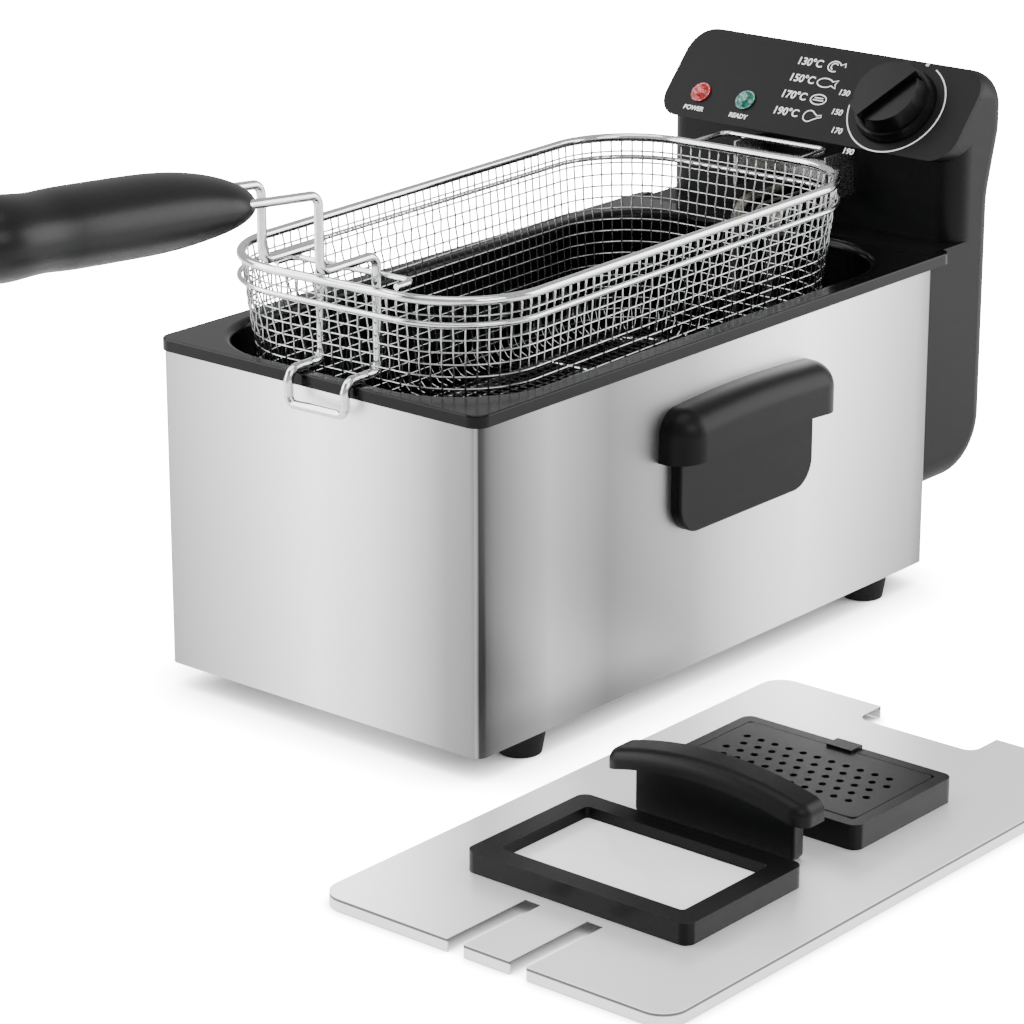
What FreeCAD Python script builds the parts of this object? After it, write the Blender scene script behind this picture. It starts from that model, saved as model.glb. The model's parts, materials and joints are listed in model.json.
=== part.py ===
import FreeCAD, Part
import math
import os
import re
import Sketcher
from FreeCAD import Placement, Rotation, Vector

# A household deep fryer, in millimetres.
# Every piece is drawn in a frame that stands on the floor (z = 0), with x = 0 on the fryer's
# middle line and y = 0 at the steel casing's front face; +y runs to the control head.
# The basket, the lid and what sits on the sloping panel have frames of their own.
# A last step moves the whole set so that the origin is the middle of its footprint.

doc = FreeCAD.newDocument("DeepFryer")
sheet = doc.addObject("Spreadsheet::Sheet", "Dims")

sizes = {
    # steel casing and what it stands on
    "casingWidth": 200, "casingLength": 362, "casingHeight": 160, "casingGauge": 0.8,
    "casingCorner": 5, "casingReturn": 24, "baseGauge": 1.5, "baseGap": 0.4,
    "ventWidth": 5, "ventLength": 60, "ventStep": 14,
    "footHeight": 12, "footTopRadius": 12.5, "footBaseRadius": 10.5, "footSideInset": 13,
    "footFrontInset": 45, "footRearInset": 37, "footScrewRadius": 2, "screwHeadRadius": 4,
    # oil pot and its turned rim
    "rimHeight": 6, "rimGauge": 1.2, "rimGap": 0.3, "rimRearReach": 15, "rimCorner": 6,
    "potSideMargin": 11, "potFrontMargin": 8, "potRearMargin": 8, "potCorner": 50,
    "potDepth": 138, "potGauge": 1.2, "potFloorRound": 14, "potLipRound": 4,
    # carrying handles on both long sides
    "gripPlateWidth": 108, "gripPlateHeight": 39, "gripPlateThick": 6, "gripPlateCorner": 15,
    "gripLipWidth": 128, "gripLipReach": 18, "gripLipThick": 25, "gripCrown": 3,
    "gripEndRound": 15, "gripTopRound": 13,
    "gripSetback": 15, "gripDrop": 49, "gripScrewSpacing": 70, "gripScrewRadius": 1.5,
    # control head
    "headSideMargin": 5, "headGap": 0.6, "headBottom": 48, "headDepth": 63, "headBulge": 9,
    "bulgeRise": 60, "headWall": 2.4, "headBottomRound": 32, "neckSetback": 26,
    "sideRound": 13, "panelSetback": 15, "panelRise": 51, "panelLength": 56,
    "panelAngle": 47.5, "panelLip": 3, "panelThick": 2.4, "splitSetback": 40, "shoulderGap": 0.5,
    "dockWidth": 12, "dockReach": 4.5, "dockSpacing": 100, "dockBottom": 70, "dockTopDrop": 22,
    "headScrewRadius": 1.8, "headScrewSpacing": 140, "headScrewLow": 92, "headScrewRise": 14,
    "inletX": 45, "inletLevel": 112, "inletRadius": 3.8, "grommetRadius": 8,
    "resetX": -45, "resetLevel": 112, "resetRadius": 4, "resetTravel": 2, "runGap": 0.4,
    # dial and lamps on the panel
    "knobSideGap": 45, "knobTurn": -35, "knobRadius": 23, "knobSkirt": 5, "knobHeight": 18,
    "shaftRadius": 3, "lampSideGap": 23, "lampSpacing": 30, "lampUp": -12, "lampRadius": 5,
    # heating element and sensor
    "elementRadius": 3.25, "elementRiserX": 12, "elementRearGap": 10, "elementRise": 20,
    "elementFloorGap": 12, "elementOuterX": 62, "elementInnerX": 25, "elementFrontGap": 34,
    "elementBend": 12, "bulbRadius": 3, "bulbLength": 85, "capillaryRadius": 1.2,
    # hanger bracket on the head
    "bracketHalfWidth": 30, "bracketReach": 26, "bracketHeight": 24, "bracketGauge": 1.2,
    "bracketRise": 27, "rivetRadius": 3.2,
    # frying basket, hung up to drain
    "basketSideGap": 4, "basketRearMargin": 24.5, "basketFront": 5, "hangRise": 44,
    "basketDepth": 100, "basketTaper": 10, "basketCorner": 48, "basketWall": 1.6,
    "basketKnee": 48, "basketFrontTaper": 1, "basketYaw": 2.5, "rimWireRadius": 2.25,
    "hoopWireRadius": 1.25, "baseWireRadius": 1.5,
    # its wire handle with the drain hook, and the grip on it
    "handleWireRadius": 2.25, "handleSpacing": 34, "handleBend": 6, "handleFront": -23,
    "handleAboveRim": 50, "handleRise": 8, "capAboveRim": 14, "capRear": 17, "hookGap": 3,
    "hookDrop": 16, "gripTip": -55, "gripLength": 180, "gripHeight": 35.5, "gripWidth": 42,
    "gripAboveWire": 2, "gripTilt": 5, "wireInGrip": 45,
    # lid, lying on the floor beside the fryer
    "lidSideMargin": 5, "lidEndMargin": 30, "lidGauge": 0.8, "lidFold": 6, "lidCorner": 12,
    "lidGapX": 32, "lidCentreY": 22, "slotWidth": 9, "slotLength": 51,
    "notchWidth": 66, "notchDepth": 20, "notchCorner": 6,
    "windowWidth": 122, "windowDepth": 82, "windowHeight": 10, "windowBar": 11,
    "windowCorner": 5, "windowY": -68, "windowRebate": 3, "glassGauge": 4, "sealGauge": 0.5,
    "filterWidth": 116, "filterDepth": 76, "filterHeight": 12, "filterY": 54,
    "filterCorner": 5, "filterRim": 8, "filterFloor": 1.5, "padGauge": 5, "coverGauge": 2.4,
    "coverGap": 0.4, "ventCell": 3.6, "ventPitch": 8, "ventColumns": 11, "ventRows": 5,
    "tabWidth": 14, "tabLength": 8,
    "lidGripWidth": 110, "lidGripHeight": 38, "lidGripWeb": 88, "lidGripReach": 17,
    "lidGripLip": 9, "lidGripCrown": 8, "lidGripEndRound": 8, "lidGripTopRound": 6,
    "lidGripThick": 7,
    "lidGripY": -8, "lidScrewRadius": 1.6, "lidScrewSpacing": 60,
}


def fill_sheet(values, first_row):
    for row, (alias, value) in enumerate(values.items(), first_row):
        sheet.set("A%d" % row, alias)
        sheet.set("B%d" % row, str(value))
        sheet.setAlias("B%d" % row, alias)
    doc.recompute()


fill_sheet(sizes, 1)
slope = math.radians(sizes["panelAngle"])
places = {
    "casingTop": "=footHeight + casingHeight",
    # the head stands behind the casing and rises above it
    "headHalfWidth": "=casingWidth / 2 - headSideMargin",
    "headRear": "=casingLength + headDepth",
    "neckFront": "=casingLength + neckSetback",
    "headSplit": "=casingLength + splitSetback",
    "panelFrontY": "=casingLength + panelSetback",
    "panelFrontZ": "=casingTop + panelRise",
    "panelMidY": "=panelFrontY + %.9f * panelLength" % (math.cos(slope) / 2),
    "panelMidZ": "=panelFrontZ + %.9f * panelLength" % (math.sin(slope) / 2),
    "bulgeLevel": "=casingTop + bulgeRise",
    "dockTop": "=casingTop - dockTopDrop",
    "headScrewHigh": "=casingTop + headScrewRise",
    "knobX": "=headHalfWidth - knobSideGap",
    "redLampX": "=lampSideGap - headHalfWidth",
    "greenLampX": "=redLampX + lampSpacing",
    "elementLevel": "=casingTop + elementRise",
    "bracketBottom": "=casingTop + bracketRise",
    # the carrying handles hang from the casing's top edge
    "gripMiddle": "=casingLength / 2 + gripSetback",
    "gripUnderside": "=casingTop - gripDrop",
    # the basket fits between the pot's walls and hangs above its rim
    "basketHalfWidth": "=casingWidth / 2 - potSideMargin - basketSideGap",
    "basketLength": "=casingLength - basketRearMargin - basketFront",
    "basketMidY": "=basketFront + basketLength / 2",
    "basketRimLevel": "=casingTop + rimHeight + hangRise",
    "capLevel": "=basketRimLevel + capAboveRim",
    "handleLevel": "=basketRimLevel + handleAboveRim",
    "gripLevel": "=handleLevel + gripAboveWire",
    # the lid covers the pot and lies beside the fryer
    "lidWidth": "=casingWidth - 2 * lidSideMargin",
    "lidLength": "=casingLength - lidEndMargin",
    "lidCentreX": "=casingWidth / 2 + lidWidth / 2 + lidGapX",
    "shiftX": 0,
    "shiftY": 0,
}
fill_sheet(places, len(sizes) + 1)
aliases = re.compile(r"\b(" + "|".join(list(sizes) + list(places)) + r")\b")


def dim(text):
    """Value of an expression that is written with the sheet's aliases."""
    return float(sheet.evalExpression(str(text)))


def bind(thing, prop, text):
    thing.setExpression(prop, aliases.sub(r"Dims.\1", str(text)))


# ---- pieces from primitives: every size and place is an expression on the sheet ----

def block(name, x, y, z, dx, dy, dz):
    """Box from its lowest corner."""
    made = doc.addObject("Part::Box", name)
    for prop, text in (("Length", dx), ("Width", dy), ("Height", dz),
                       ("Placement.Base.x", x), ("Placement.Base.y", y), ("Placement.Base.z", z)):
        bind(made, prop, text)
    return made


turned = {"Z": Rotation(), "X": Rotation(Vector(0, 1, 0), 90), "Y": Rotation(Vector(1, 0, 0), -90)}


def rod(name, x, y, z, radius, length, axis="Z"):
    """Cylinder that starts at x, y, z and runs along one axis."""
    made = doc.addObject("Part::Cylinder", name)
    made.Placement = Placement(Vector(), turned[axis])
    for prop, text in (("Radius", radius), ("Height", length),
                       ("Placement.Base.x", x), ("Placement.Base.y", y), ("Placement.Base.z", z)):
        bind(made, prop, text)
    return made


def cone(name, x, y, z, low_radius, high_radius, height):
    made = doc.addObject("Part::Cone", name)
    for prop, text in (("Radius1", low_radius), ("Radius2", high_radius), ("Height", height),
                       ("Placement.Base.x", x), ("Placement.Base.y", y), ("Placement.Base.z", z)):
        bind(made, prop, text)
    return made


def fuse(name, parts):
    made = doc.addObject("Part::MultiFuse", name)
    made.Shapes = parts
    return made


def cut(name, body, tools):
    made = doc.addObject("Part::Cut", name)
    made.Base = body
    made.Tool = tools[0] if len(tools) == 1 else fuse(name + "_cutters", tools)
    return made


def group(name, parts):
    """Several separate solids in one piece, such as a set of equal screws."""
    made = doc.addObject("Part::Compound", name)
    made.Links = parts
    return made


# ---- pieces from sketches ----

def sketch_on(body, name, level):
    sketch = body.newObject("Sketcher::SketchObject", name)
    plane = [f for f in body.Origin.OriginFeatures if f.Role == "XY_Plane"][0]
    sketch.AttachmentSupport = [(plane, "")]
    sketch.MapMode = "FlatFace"
    bind(sketch, "AttachmentOffset.Base.z", level)
    return sketch


def rectangle(sketch, x0, x1, y0, y1):
    corners = [(x0, y0), (x1, y0), (x1, y1), (x0, y1)]
    spots = [Vector(dim(x), dim(y), 0) for x, y in corners]
    first = sketch.GeometryCount
    for i in range(4):
        sketch.addGeometry(Part.LineSegment(spots[i], spots[(i + 1) % 4]))
    for i in range(4):
        line, following = first + i, first + (i + 1) % 4
        sketch.addConstraint(Sketcher.Constraint("Coincident", line, 2, following, 1))
        for kind, text, value in (("DistanceX", corners[i][0], spots[i].x),
                                  ("DistanceY", corners[i][1], spots[i].y)):
            index = sketch.addConstraint(Sketcher.Constraint(kind, -1, 1, line, 1, value))
            bind(sketch, "Constraints[%d]" % index, text)


def circle(sketch, x, y, radius):
    spot = Vector(dim(x), dim(y), 0)
    line = sketch.addGeometry(Part.Circle(spot, Vector(0, 0, 1), dim(radius)))
    for kind, text, value in (("DistanceX", x, spot.x), ("DistanceY", y, spot.y)):
        index = sketch.addConstraint(Sketcher.Constraint(kind, -1, 1, line, 3, value))
        bind(sketch, "Constraints[%d]" % index, text)
    index = sketch.addConstraint(Sketcher.Constraint("Radius", line, dim(radius)))
    bind(sketch, "Constraints[%d]" % index, radius)


def plate(name, x0, x1, y0, y1, level, height, corner):
    """Rounded rectangle that stands on a level: a sketch, a pad and four rounded corners."""
    body = doc.addObject("PartDesign::Body", name)
    sketch = sketch_on(body, name + "_outline", level)
    rectangle(sketch, x0, x1, y0, y1)
    pad = body.newObject("PartDesign::Pad", name + "_pad")
    pad.Profile = sketch
    bind(pad, "Length", height)
    doc.recompute()
    upright = ["Edge%d" % (i + 1) for i, edge in enumerate(pad.Shape.Edges)
               if abs(edge.tangentAt(edge.FirstParameter).z) > 0.9]
    rounds = body.newObject("PartDesign::Fillet", name + "_corners")
    rounds.Base = (pad, upright)
    bind(rounds, "Radius", corner)
    return body


def pocket(body, level, depth, rectangles=(), circles=(), corner=None):
    """Cut downwards from a level; with a corner the cut's upright edges are rounded."""
    count = len(body.Group)
    sketch = sketch_on(body, "%s_cut%d" % (body.Name, count), level)
    for sides in rectangles:
        rectangle(sketch, *sides)
    for hole in circles:
        circle(sketch, *hole)
    made = body.newObject("PartDesign::Pocket", "%s_pocket%d" % (body.Name, count))
    made.Profile = sketch
    bind(made, "Length", depth)
    if corner:
        doc.recompute()
        x0, x1, y0, y1 = [dim(text) for text in rectangles[0]]
        found = []
        for i, edge in enumerate(made.Shape.Edges):
            spot = edge.CenterOfMass
            if (abs(edge.tangentAt(edge.FirstParameter).z) > 0.9
                    and min(abs(spot.x - x0), abs(spot.x - x1)) < 0.01
                    and min(abs(spot.y - y0), abs(spot.y - y1)) < 0.01):
                found.append("Edge%d" % (i + 1))
        rounds = body.newObject("PartDesign::Fillet", "%s_round%d" % (body.Name, count))
        rounds.Base = (made, found)
        bind(rounds, "Radius", corner)
    return body


# ---- shapes that neither primitives nor pads make ----

def rounded_wire(points, closed=True):
    """Straight runs joined by tangent arcs, through (Vector, radius) points."""
    count = len(points)
    edges, ends = [], []
    for i, (spot, radius) in enumerate(points):
        inner = closed or 0 < i < count - 1
        if not inner or radius <= 0:
            ends.append((spot, spot, None))
            continue
        back = (points[i - 1][0] - spot).normalize()
        ahead = (points[(i + 1) % count][0] - spot).normalize()
        half = back.getAngle(ahead) / 2
        reach = radius / math.tan(half)
        middle = spot + (back + ahead).normalize() * (radius / math.sin(half) - radius)
        ends.append((spot + back * reach, spot + ahead * reach, middle))
    for i, (start, stop, middle) in enumerate(ends):
        if middle is not None:
            edges.append(Part.Arc(start, middle, stop).toShape())
        if closed or i < count - 1:
            following = ends[(i + 1) % count][0]
            if stop.distanceToPoint(following) > 1e-6:
                edges.append(Part.makeLine(stop, following))
    return Part.Wire(edges)


def tube(points, radius, closed=False):
    """Round wire or pipe along a path of (Vector, radius) points."""
    path = rounded_wire(points, closed)
    edge = path.OrderedEdges[0]
    start = edge.valueAt(edge.FirstParameter)
    if not closed:
        start = points[0][0]
    heading = edge.tangentAt(edge.FirstParameter)
    ring = Part.Wire([Part.makeCircle(radius, start, heading)])
    return path.makePipeShell([ring], True, False)


def rounded_box(x0, x1, y0, y1, z0, z1, corner):
    spots = [Vector(x0, y0, z0), Vector(x1, y0, z0), Vector(x1, y1, z0), Vector(x0, y1, z0)]
    return Part.Face(rounded_wire([(s, corner) for s in spots])).extrude(Vector(0, 0, z1 - z0))


def edges_at(shape, test):
    return [edge for edge in shape.Edges if test(edge.CenterOfMass, edge.BoundBox)]


def own_shape(name, shape):
    made = doc.addObject("Part::Feature", name)
    made.Shape = shape
    return made


# ---- each piece has its place from the frame it was drawn in ----

subparts = []


def keep(label, made, frame="fryer"):
    """Give a finished piece its name and its frame's place."""
    if made.TypeId in ("Part::Box", "Part::Cylinder"):
        made.Label = label + "_form"
        made = group(label, [made])
    made.Label = label
    upright = Vector(0, 0, 1)
    on_panel = Rotation(Vector(1, 0, 0), sizes["panelAngle"])
    turn = {"panel": on_panel, "dial": on_panel * Rotation(upright, sizes["knobTurn"]),
            "basket": Rotation(upright, sizes["basketYaw"])}.get(frame, Rotation())
    spots = {"fryer": ("0", "0", "0"), "panel": ("0", "panelMidY", "panelMidZ"),
             "dial": ("knobX", "panelMidY", "panelMidZ"),
             "basket": ("0", "basketMidY", "0"), "lid": ("lidCentreX", "lidCentreY", "0")}
    x, y, z = spots[frame]
    made.Placement = Placement(Vector(), turn)
    bind(made, "Placement.Base.x", "shiftX + " + x)
    bind(made, "Placement.Base.y", "shiftY + " + y)
    bind(made, "Placement.Base.z", z)
    subparts.append(made)


# ==== casing, base and feet ====

def make_casing():
    """Bent sheet-steel box, open at the top, with a return flange under it."""
    top = "casingTop + rimHeight - rimGauge - rimGap"
    body = plate("casing", "-casingWidth / 2", "casingWidth / 2", "0", "casingLength",
                 "footHeight", top + " - footHeight", "casingCorner")
    hollow = plate("casing_hollow", "-casingWidth / 2 + casingGauge",
                   "casingWidth / 2 - casingGauge", "casingGauge", "casingLength - casingGauge",
                   "footHeight + casingGauge", "casingHeight + 10", "casingCorner - casingGauge")
    pocket(body, "footHeight + casingGauge", "casingGauge",
           [("-casingWidth / 2 + casingReturn", "casingWidth / 2 - casingReturn",
             "casingReturn", "casingLength - casingReturn")])
    pocket(body, "footHeight + casingGauge", "casingGauge",
           circles=[(x, y, "footScrewRadius + 0.2") for x, y in foot_spots().values()])
    tools = [hollow]
    for side in (-1, 1):
        for along in (-1, 1):
            tools.append(rod("grip_hole", "%d * casingWidth / 2 - 2" % side,
                             "gripMiddle + %d * gripScrewSpacing / 2" % along,
                             "gripUnderside - gripPlateHeight / 2", "gripScrewRadius + 0.2",
                             "4", "X"))
    keep("outer_casing", cut("outer_casing", body, tools))


def foot_spots():
    x = "(casingWidth / 2 - footSideInset)"
    front, rear = "footFrontInset", "(casingLength - footRearInset)"
    return {"front_left": ("-" + x, front), "front_right": (x, front),
            "rear_left": ("-" + x, rear), "rear_right": (x, rear)}


def make_base():
    """Steel tray that closes the underside, with two rows of vent slots."""
    level = "footHeight + casingGauge"
    side = "(casingWidth / 2 - casingGauge - baseGap)"
    body = plate("base", "-" + side, side, "casingGauge + baseGap",
                 "casingLength - casingGauge - baseGap", level, "baseGauge", "casingCorner")
    slots = []
    for row in range(8):
        for x in ("4", "-ventLength - 4"):
            slots.append(block("vent_slot", x, "casingLength / 2 + %g * ventStep - ventWidth / 2"
                               % (row - 3.5), "footHeight", "ventLength", "ventWidth", "8"))
    pocket(body, level + " + baseGauge", "baseGauge",
           circles=[(x, y, "footScrewRadius + 0.2") for x, y in foot_spots().values()])
    keep("base_plate", cut("base_plate", body, [group("vent_slots", slots)]))


def make_feet():
    """Four tapered rubber feet, each held by a screw from below and a nut inside."""
    screws, nuts = [], []
    for name, (x, y) in foot_spots().items():
        foot = cone("foot_cone", x, y, "0", "footBaseRadius", "footTopRadius", "footHeight")
        bore = rod("foot_bore", x, y, "0", "footScrewRadius + 0.2", "footHeight")
        sink = rod("foot_sink", x, y, "0", "screwHeadRadius + 0.4", "footHeight / 2")
        keep("foot_" + name, cut("foot_" + name, foot, [bore, sink]))
        head = rod("screw_head", x, y, "footHeight / 2 - 2.5", "screwHeadRadius", "2.5")
        shank = rod("screw_shank", x, y, "footHeight / 2", "footScrewRadius", "footHeight / 2 + 6")
        screws.append(fuse("foot_screw", [head, shank]))
        nut = doc.addObject("Part::Prism", "nut")
        nut.Polygon = 6
        bind(nut, "Circumradius", "screwHeadRadius")
        bind(nut, "Height", "2.4")
        for axis, text in (("x", x), ("y", y), ("z", "footHeight + casingGauge + baseGauge")):
            bind(nut, "Placement.Base." + axis, text)
        hole = rod("nut_hole", x, y, "footHeight", "footScrewRadius + 0.1", "10")
        nuts.append(cut("foot_nut", nut, [hole]))
    keep("foot_screws", group("foot_screws", screws))
    keep("foot_nuts", group("foot_nuts", nuts))


def make_dock_rails():
    """Two upright steel rails on the casing's back, which the control head slides down over."""
    for side, name in ((-1, "left"), (1, "right")):
        rail = block("rail", "%d * dockSpacing / 2 - dockWidth / 2" % side, "casingLength",
                     "dockBottom", "dockWidth", "dockReach", "dockTop - dockBottom")
        keep("dock_rail_" + name, rail)


# ==== oil pot ====

def pot_sides():
    half = dim("casingWidth / 2 - potSideMargin")
    return -half, half, dim("potFrontMargin"), dim("casingLength - potRearMargin")


def make_pot():
    """Drawn pot with a flat flange, turned down round the casing's top edge."""
    d = {name: dim(name) for name in ("casingWidth", "casingLength", "casingTop", "rimHeight",
                                      "rimGauge", "rimGap", "rimCorner", "potCorner", "potGauge",
                                      "potDepth", "potFloorRound", "potLipRound")}
    x0, x1, y0, y1 = pot_sides()
    top = d["casingTop"] + d["rimHeight"]
    floor = top - d["potDepth"]
    gauge = d["potGauge"]
    turn = d["rimGap"] + d["rimGauge"]
    half = d["casingWidth"] / 2
    rear = d["casingLength"]
    flange = rounded_box(-half - turn, half + turn, -turn, rear + dim("rimRearReach"),
                         d["casingTop"], top, d["rimCorner"] + turn)
    under = rounded_box(-half - d["rimGap"], half + d["rimGap"], -d["rimGap"], rear + d["rimGap"],
                        d["casingTop"] - 1, top - d["rimGauge"], dim("casingCorner + rimGap"))
    notch_half = dim("headHalfWidth + headGap")
    notch = Part.makeBox(2 * notch_half, 100, 40, Vector(-notch_half, rear + turn, top - 20))
    lip = d["potLipRound"] + gauge
    collar = rounded_box(x0 - lip, x1 + lip, y0 - lip, y1 + lip, top - lip, top,
                         d["potCorner"] + lip)
    outer = rounded_box(x0 - gauge, x1 + gauge, y0 - gauge, y1 + gauge, floor - gauge, top,
                        d["potCorner"] + gauge)
    outer = outer.makeFillet(d["potFloorRound"] + gauge,
                             edges_at(outer, lambda c, b: b.ZMax < floor))
    inner = rounded_box(x0, x1, y0, y1, floor, top + 5, d["potCorner"])
    inner = inner.makeFillet(d["potFloorRound"],
                             edges_at(inner, lambda c, b: b.ZMax < floor + 0.1))
    pot = flange.cut(under).cut(notch).fuse([collar, outer]).cut(inner).removeSplitter()
    lip_edges = edges_at(pot, lambda c, b: b.ZMin > top - 0.01 and b.XMin > x0 - 0.01
                         and b.XMax < x1 + 0.01 and b.YMin > y0 - 0.01 and b.YMax < y1 + 0.01)
    pot = pot.makeFillet(d["potLipRound"], lip_edges)
    soft = edges_at(pot, lambda c, b: b.ZMin > top - 0.01
                    and (b.XMax > half or b.XMin < -half or b.YMax < 0))
    keep("oil_pot", own_shape("oil_pot", pot.makeFillet(0.9, soft)))


# ==== carrying handles ====

def arched_slab(half, bottom, top, crown, depth):
    """Slab seen from the front as a strip whose lower and upper edges both arch by a crown."""
    lower = Part.Arc(Vector(0, -half, bottom), Vector(0, 0, bottom + crown),
                     Vector(0, half, bottom)).toShape()
    upper = Part.Arc(Vector(0, half, top), Vector(0, 0, top + crown),
                     Vector(0, -half, top)).toShape()
    ends = [Part.makeLine(Vector(0, side * half, low), Vector(0, side * half, high))
            for side, low, high in ((1, bottom, top), (-1, top, bottom))]
    outline = Part.Wire([lower, ends[0], upper, ends[1]])
    return Part.Face(outline).extrude(Vector(depth, 0, 0))


def grip_shape(plate_width, height, thick, corner, lip_width, reach, lip_thick, crown,
               end_round, top_round):
    """Moulded hand grip: an upright plate with an arched, rounded lip along its top.

    x points out from the wall, y runs along the grip and z is up from the plate's lower edge.
    """
    top = height + lip_thick
    lip = arched_slab(lip_width / 2, height, top, crown, reach)
    lip = lip.makeFillet(end_round, edges_at(lip, lambda c, b: b.XMin > reach - 0.01
                                             and b.YLength < 0.01))
    lip = lip.makeFillet(top_round, edges_at(lip, lambda c, b: c.z > top - 0.01
                                             and b.XMax > 0.01 and b.ZMin > height + 0.01))
    half = plate_width / 2
    plate_form = Part.makeBox(thick, 2 * half, top + crown, Vector(0, -half, 0))
    plate_form = plate_form.makeFillet(corner, edges_at(
        plate_form, lambda c, b: b.ZMax < 0.01 and b.XLength > thick - 0.01))
    plate_form = plate_form.makeFillet(1.2, edges_at(
        plate_form, lambda c, b: b.XMin > thick - 0.01 and c.z < top))
    below = arched_slab(lip_width / 2, -2 * crown - 2, height + lip_thick / 2, crown + 1, reach)
    return lip.fuse(plate_form.common(below)).removeSplitter()


def make_side_handles():
    """A moulded handle on each long side, screwed on from inside the casing."""
    shape = grip_shape(dim("gripPlateWidth"), dim("gripPlateHeight"), dim("gripPlateThick"),
                       dim("gripPlateCorner"), dim("gripLipWidth"), dim("gripLipReach"),
                       dim("gripLipThick"), dim("gripCrown"), dim("gripEndRound"),
                       dim("gripTopRound"))
    half = dim("casingWidth / 2")
    middle = dim("gripMiddle")
    level = dim("gripUnderside - gripPlateHeight / 2")
    radius = dim("gripScrewRadius")
    screws = []
    for side, name in ((-1, "left"), (1, "right")):
        grip = shape.copy()
        if side < 0:
            grip.rotate(Vector(), Vector(0, 0, 1), 180)
        grip.translate(Vector(side * half, middle, dim("gripUnderside - gripPlateHeight")))
        for along in (-1, 1):
            y = middle + along * dim("gripScrewSpacing / 2")
            out = Vector(side, 0, 0)
            start = Vector(side * (half - dim("casingGauge")), y, level)
            depth = dim("gripPlateThick") - 1.5
            grip = grip.cut(Part.makeCylinder(radius + 0.1, depth, Vector(side * half, y, level), out))
            shank = Part.makeCylinder(radius, dim("casingGauge") + depth - 0.5, start, out)
            head = Part.makeCylinder(radius * 2, 1.8, start, -out)
            screws.append(shank.fuse(head))
        keep("side_handle_" + name, own_shape("side_handle_" + name, grip))
    keep("side_handle_screws", own_shape("side_handle_screws", Part.makeCompound(screws)))


# ==== control head ====

def inset_outline(points, inset):
    """Move every side of a closed (u, v, radius) outline inwards and fit the corners again."""
    count = len(points)
    area = sum(points[i - 1][0] * points[i][1] - points[i][0] * points[i - 1][1]
               for i in range(count))
    way = 1 if area > 0 else -1
    lines = []
    for i in range(count):
        (u0, v0, _), (u1, v1, _) = points[i], points[(i + 1) % count]
        length = math.hypot(u1 - u0, v1 - v0)
        du, dv = (u1 - u0) / length, (v1 - v0) / length
        lines.append((u0 - way * dv * inset, v0 + way * du * inset, du, dv))
    moved = []
    for i in range(count):
        pu, pv, pdu, pdv = lines[i - 1]
        qu, qv, qdu, qdv = lines[i]
        cross = pdu * qdv - pdv * qdu
        step = ((qu - pu) * qdv - (qv - pv) * qdu) / cross
        convex = cross * way > 0
        radius = points[i][2] - inset if convex else points[i][2] + inset
        moved.append((pu + pdu * step, pv + pdv * step, max(radius, 0)))
    return moved


def head_front():
    return dim("casingLength + rimGap + rimGauge + headGap")


def head_outline():
    """The head's side view as (y, z, radius)."""
    front, rear = head_front(), dim("headRear")
    bottom, shoulder = dim("headBottom"), dim("casingTop + rimHeight - shoulderGap")
    neck, bulge = dim("neckFront"), dim("headRear + headBulge")
    panel_y, panel_z = dim("panelFrontY"), dim("panelFrontZ")
    run = dim("panelLength")
    top_y, top_z = panel_y + run * math.cos(slope), panel_z + run * math.sin(slope)
    level = dim("bulgeLevel")
    return [(front, bottom, 0), (rear, bottom, dim("headBottomRound")), (rear, level - 34, 40),
            (bulge, level, 30), (bulge, top_z - 2, 20), (top_y, top_z, 0), (panel_y, panel_z, 0),
            (neck, panel_z - dim("panelLip"), 0), (neck, shoulder, 0), (front, shoulder, 0)]


def head_solid(inset):
    """The head's outer form, or with an inset the hollow inside its wall."""
    half = dim("headHalfWidth") - inset
    outline = inset_outline(head_outline(), inset) if inset else head_outline()
    wire = rounded_wire([(Vector(-half, y, z), r) for y, z, r in outline])
    solid = Part.Face(wire).extrude(Vector(2 * half, 0, 0))
    shoulder = dim("casingTop + rimHeight") + 1
    neck = dim("neckFront") - inset
    middle = Vector(0, dim("panelMidY"), dim("panelMidZ"))
    outward = Vector(0, -math.sin(slope), math.cos(slope))

    def rounded_side(spot, box):
        on_side = abs(abs(spot.x) - half) < 0.01 and box.XLength < 0.01
        on_panel = abs((spot - middle).dot(outward)) < inset + 1.2
        low_front = spot.y < neck - 1 and spot.z < shoulder
        ledge = spot.y < neck + 2 and spot.z < shoulder and spot.z > shoulder - 6
        return on_side and not on_panel and not low_front and not ledge

    return solid.makeFillet(dim("sideRound") - inset, edges_at(solid, rounded_side))


def panel_slab(depth):
    """Everything within a depth below the panel's face."""
    slab = Part.makeBox(400, 400, depth + 40, Vector(-200, -200, -depth))
    slab.Placement = Placement(Vector(0, dim("panelMidY"), dim("panelMidZ")),
                               Rotation(Vector(1, 0, 0), dim("panelAngle")))
    near = Part.makeBox(400, 200, 400, Vector(-200, dim("panelFrontY") - 60,
                                               dim("panelFrontZ") - 14))
    return slab.common(near)


def panel_rod(x, up, low, high, radius):
    """Round hole cutter square to the panel's face, in the fryer's frame."""
    made = Part.makeCylinder(radius, high - low, Vector(x, up, low))
    made.Placement = Placement(Vector(0, dim("panelMidY"), dim("panelMidZ")),
                               Rotation(Vector(1, 0, 0), dim("panelAngle")))
    return made


def screw_spots():
    half = dim("headScrewSpacing / 2")
    levels = dim("headScrewLow"), dim("headScrewHigh")
    return [Vector(side * half, dim("headRear"), z) for side in (-1, 1) for z in levels]


def pillar_start(spot):
    """Where a screw pillar leaves the front cover's inner wall."""
    wall = dim("neckFront") if spot.z > dim("casingTop") else head_front()
    return Vector(spot.x, wall + dim("headWall") - 0.5, spot.z)


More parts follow.
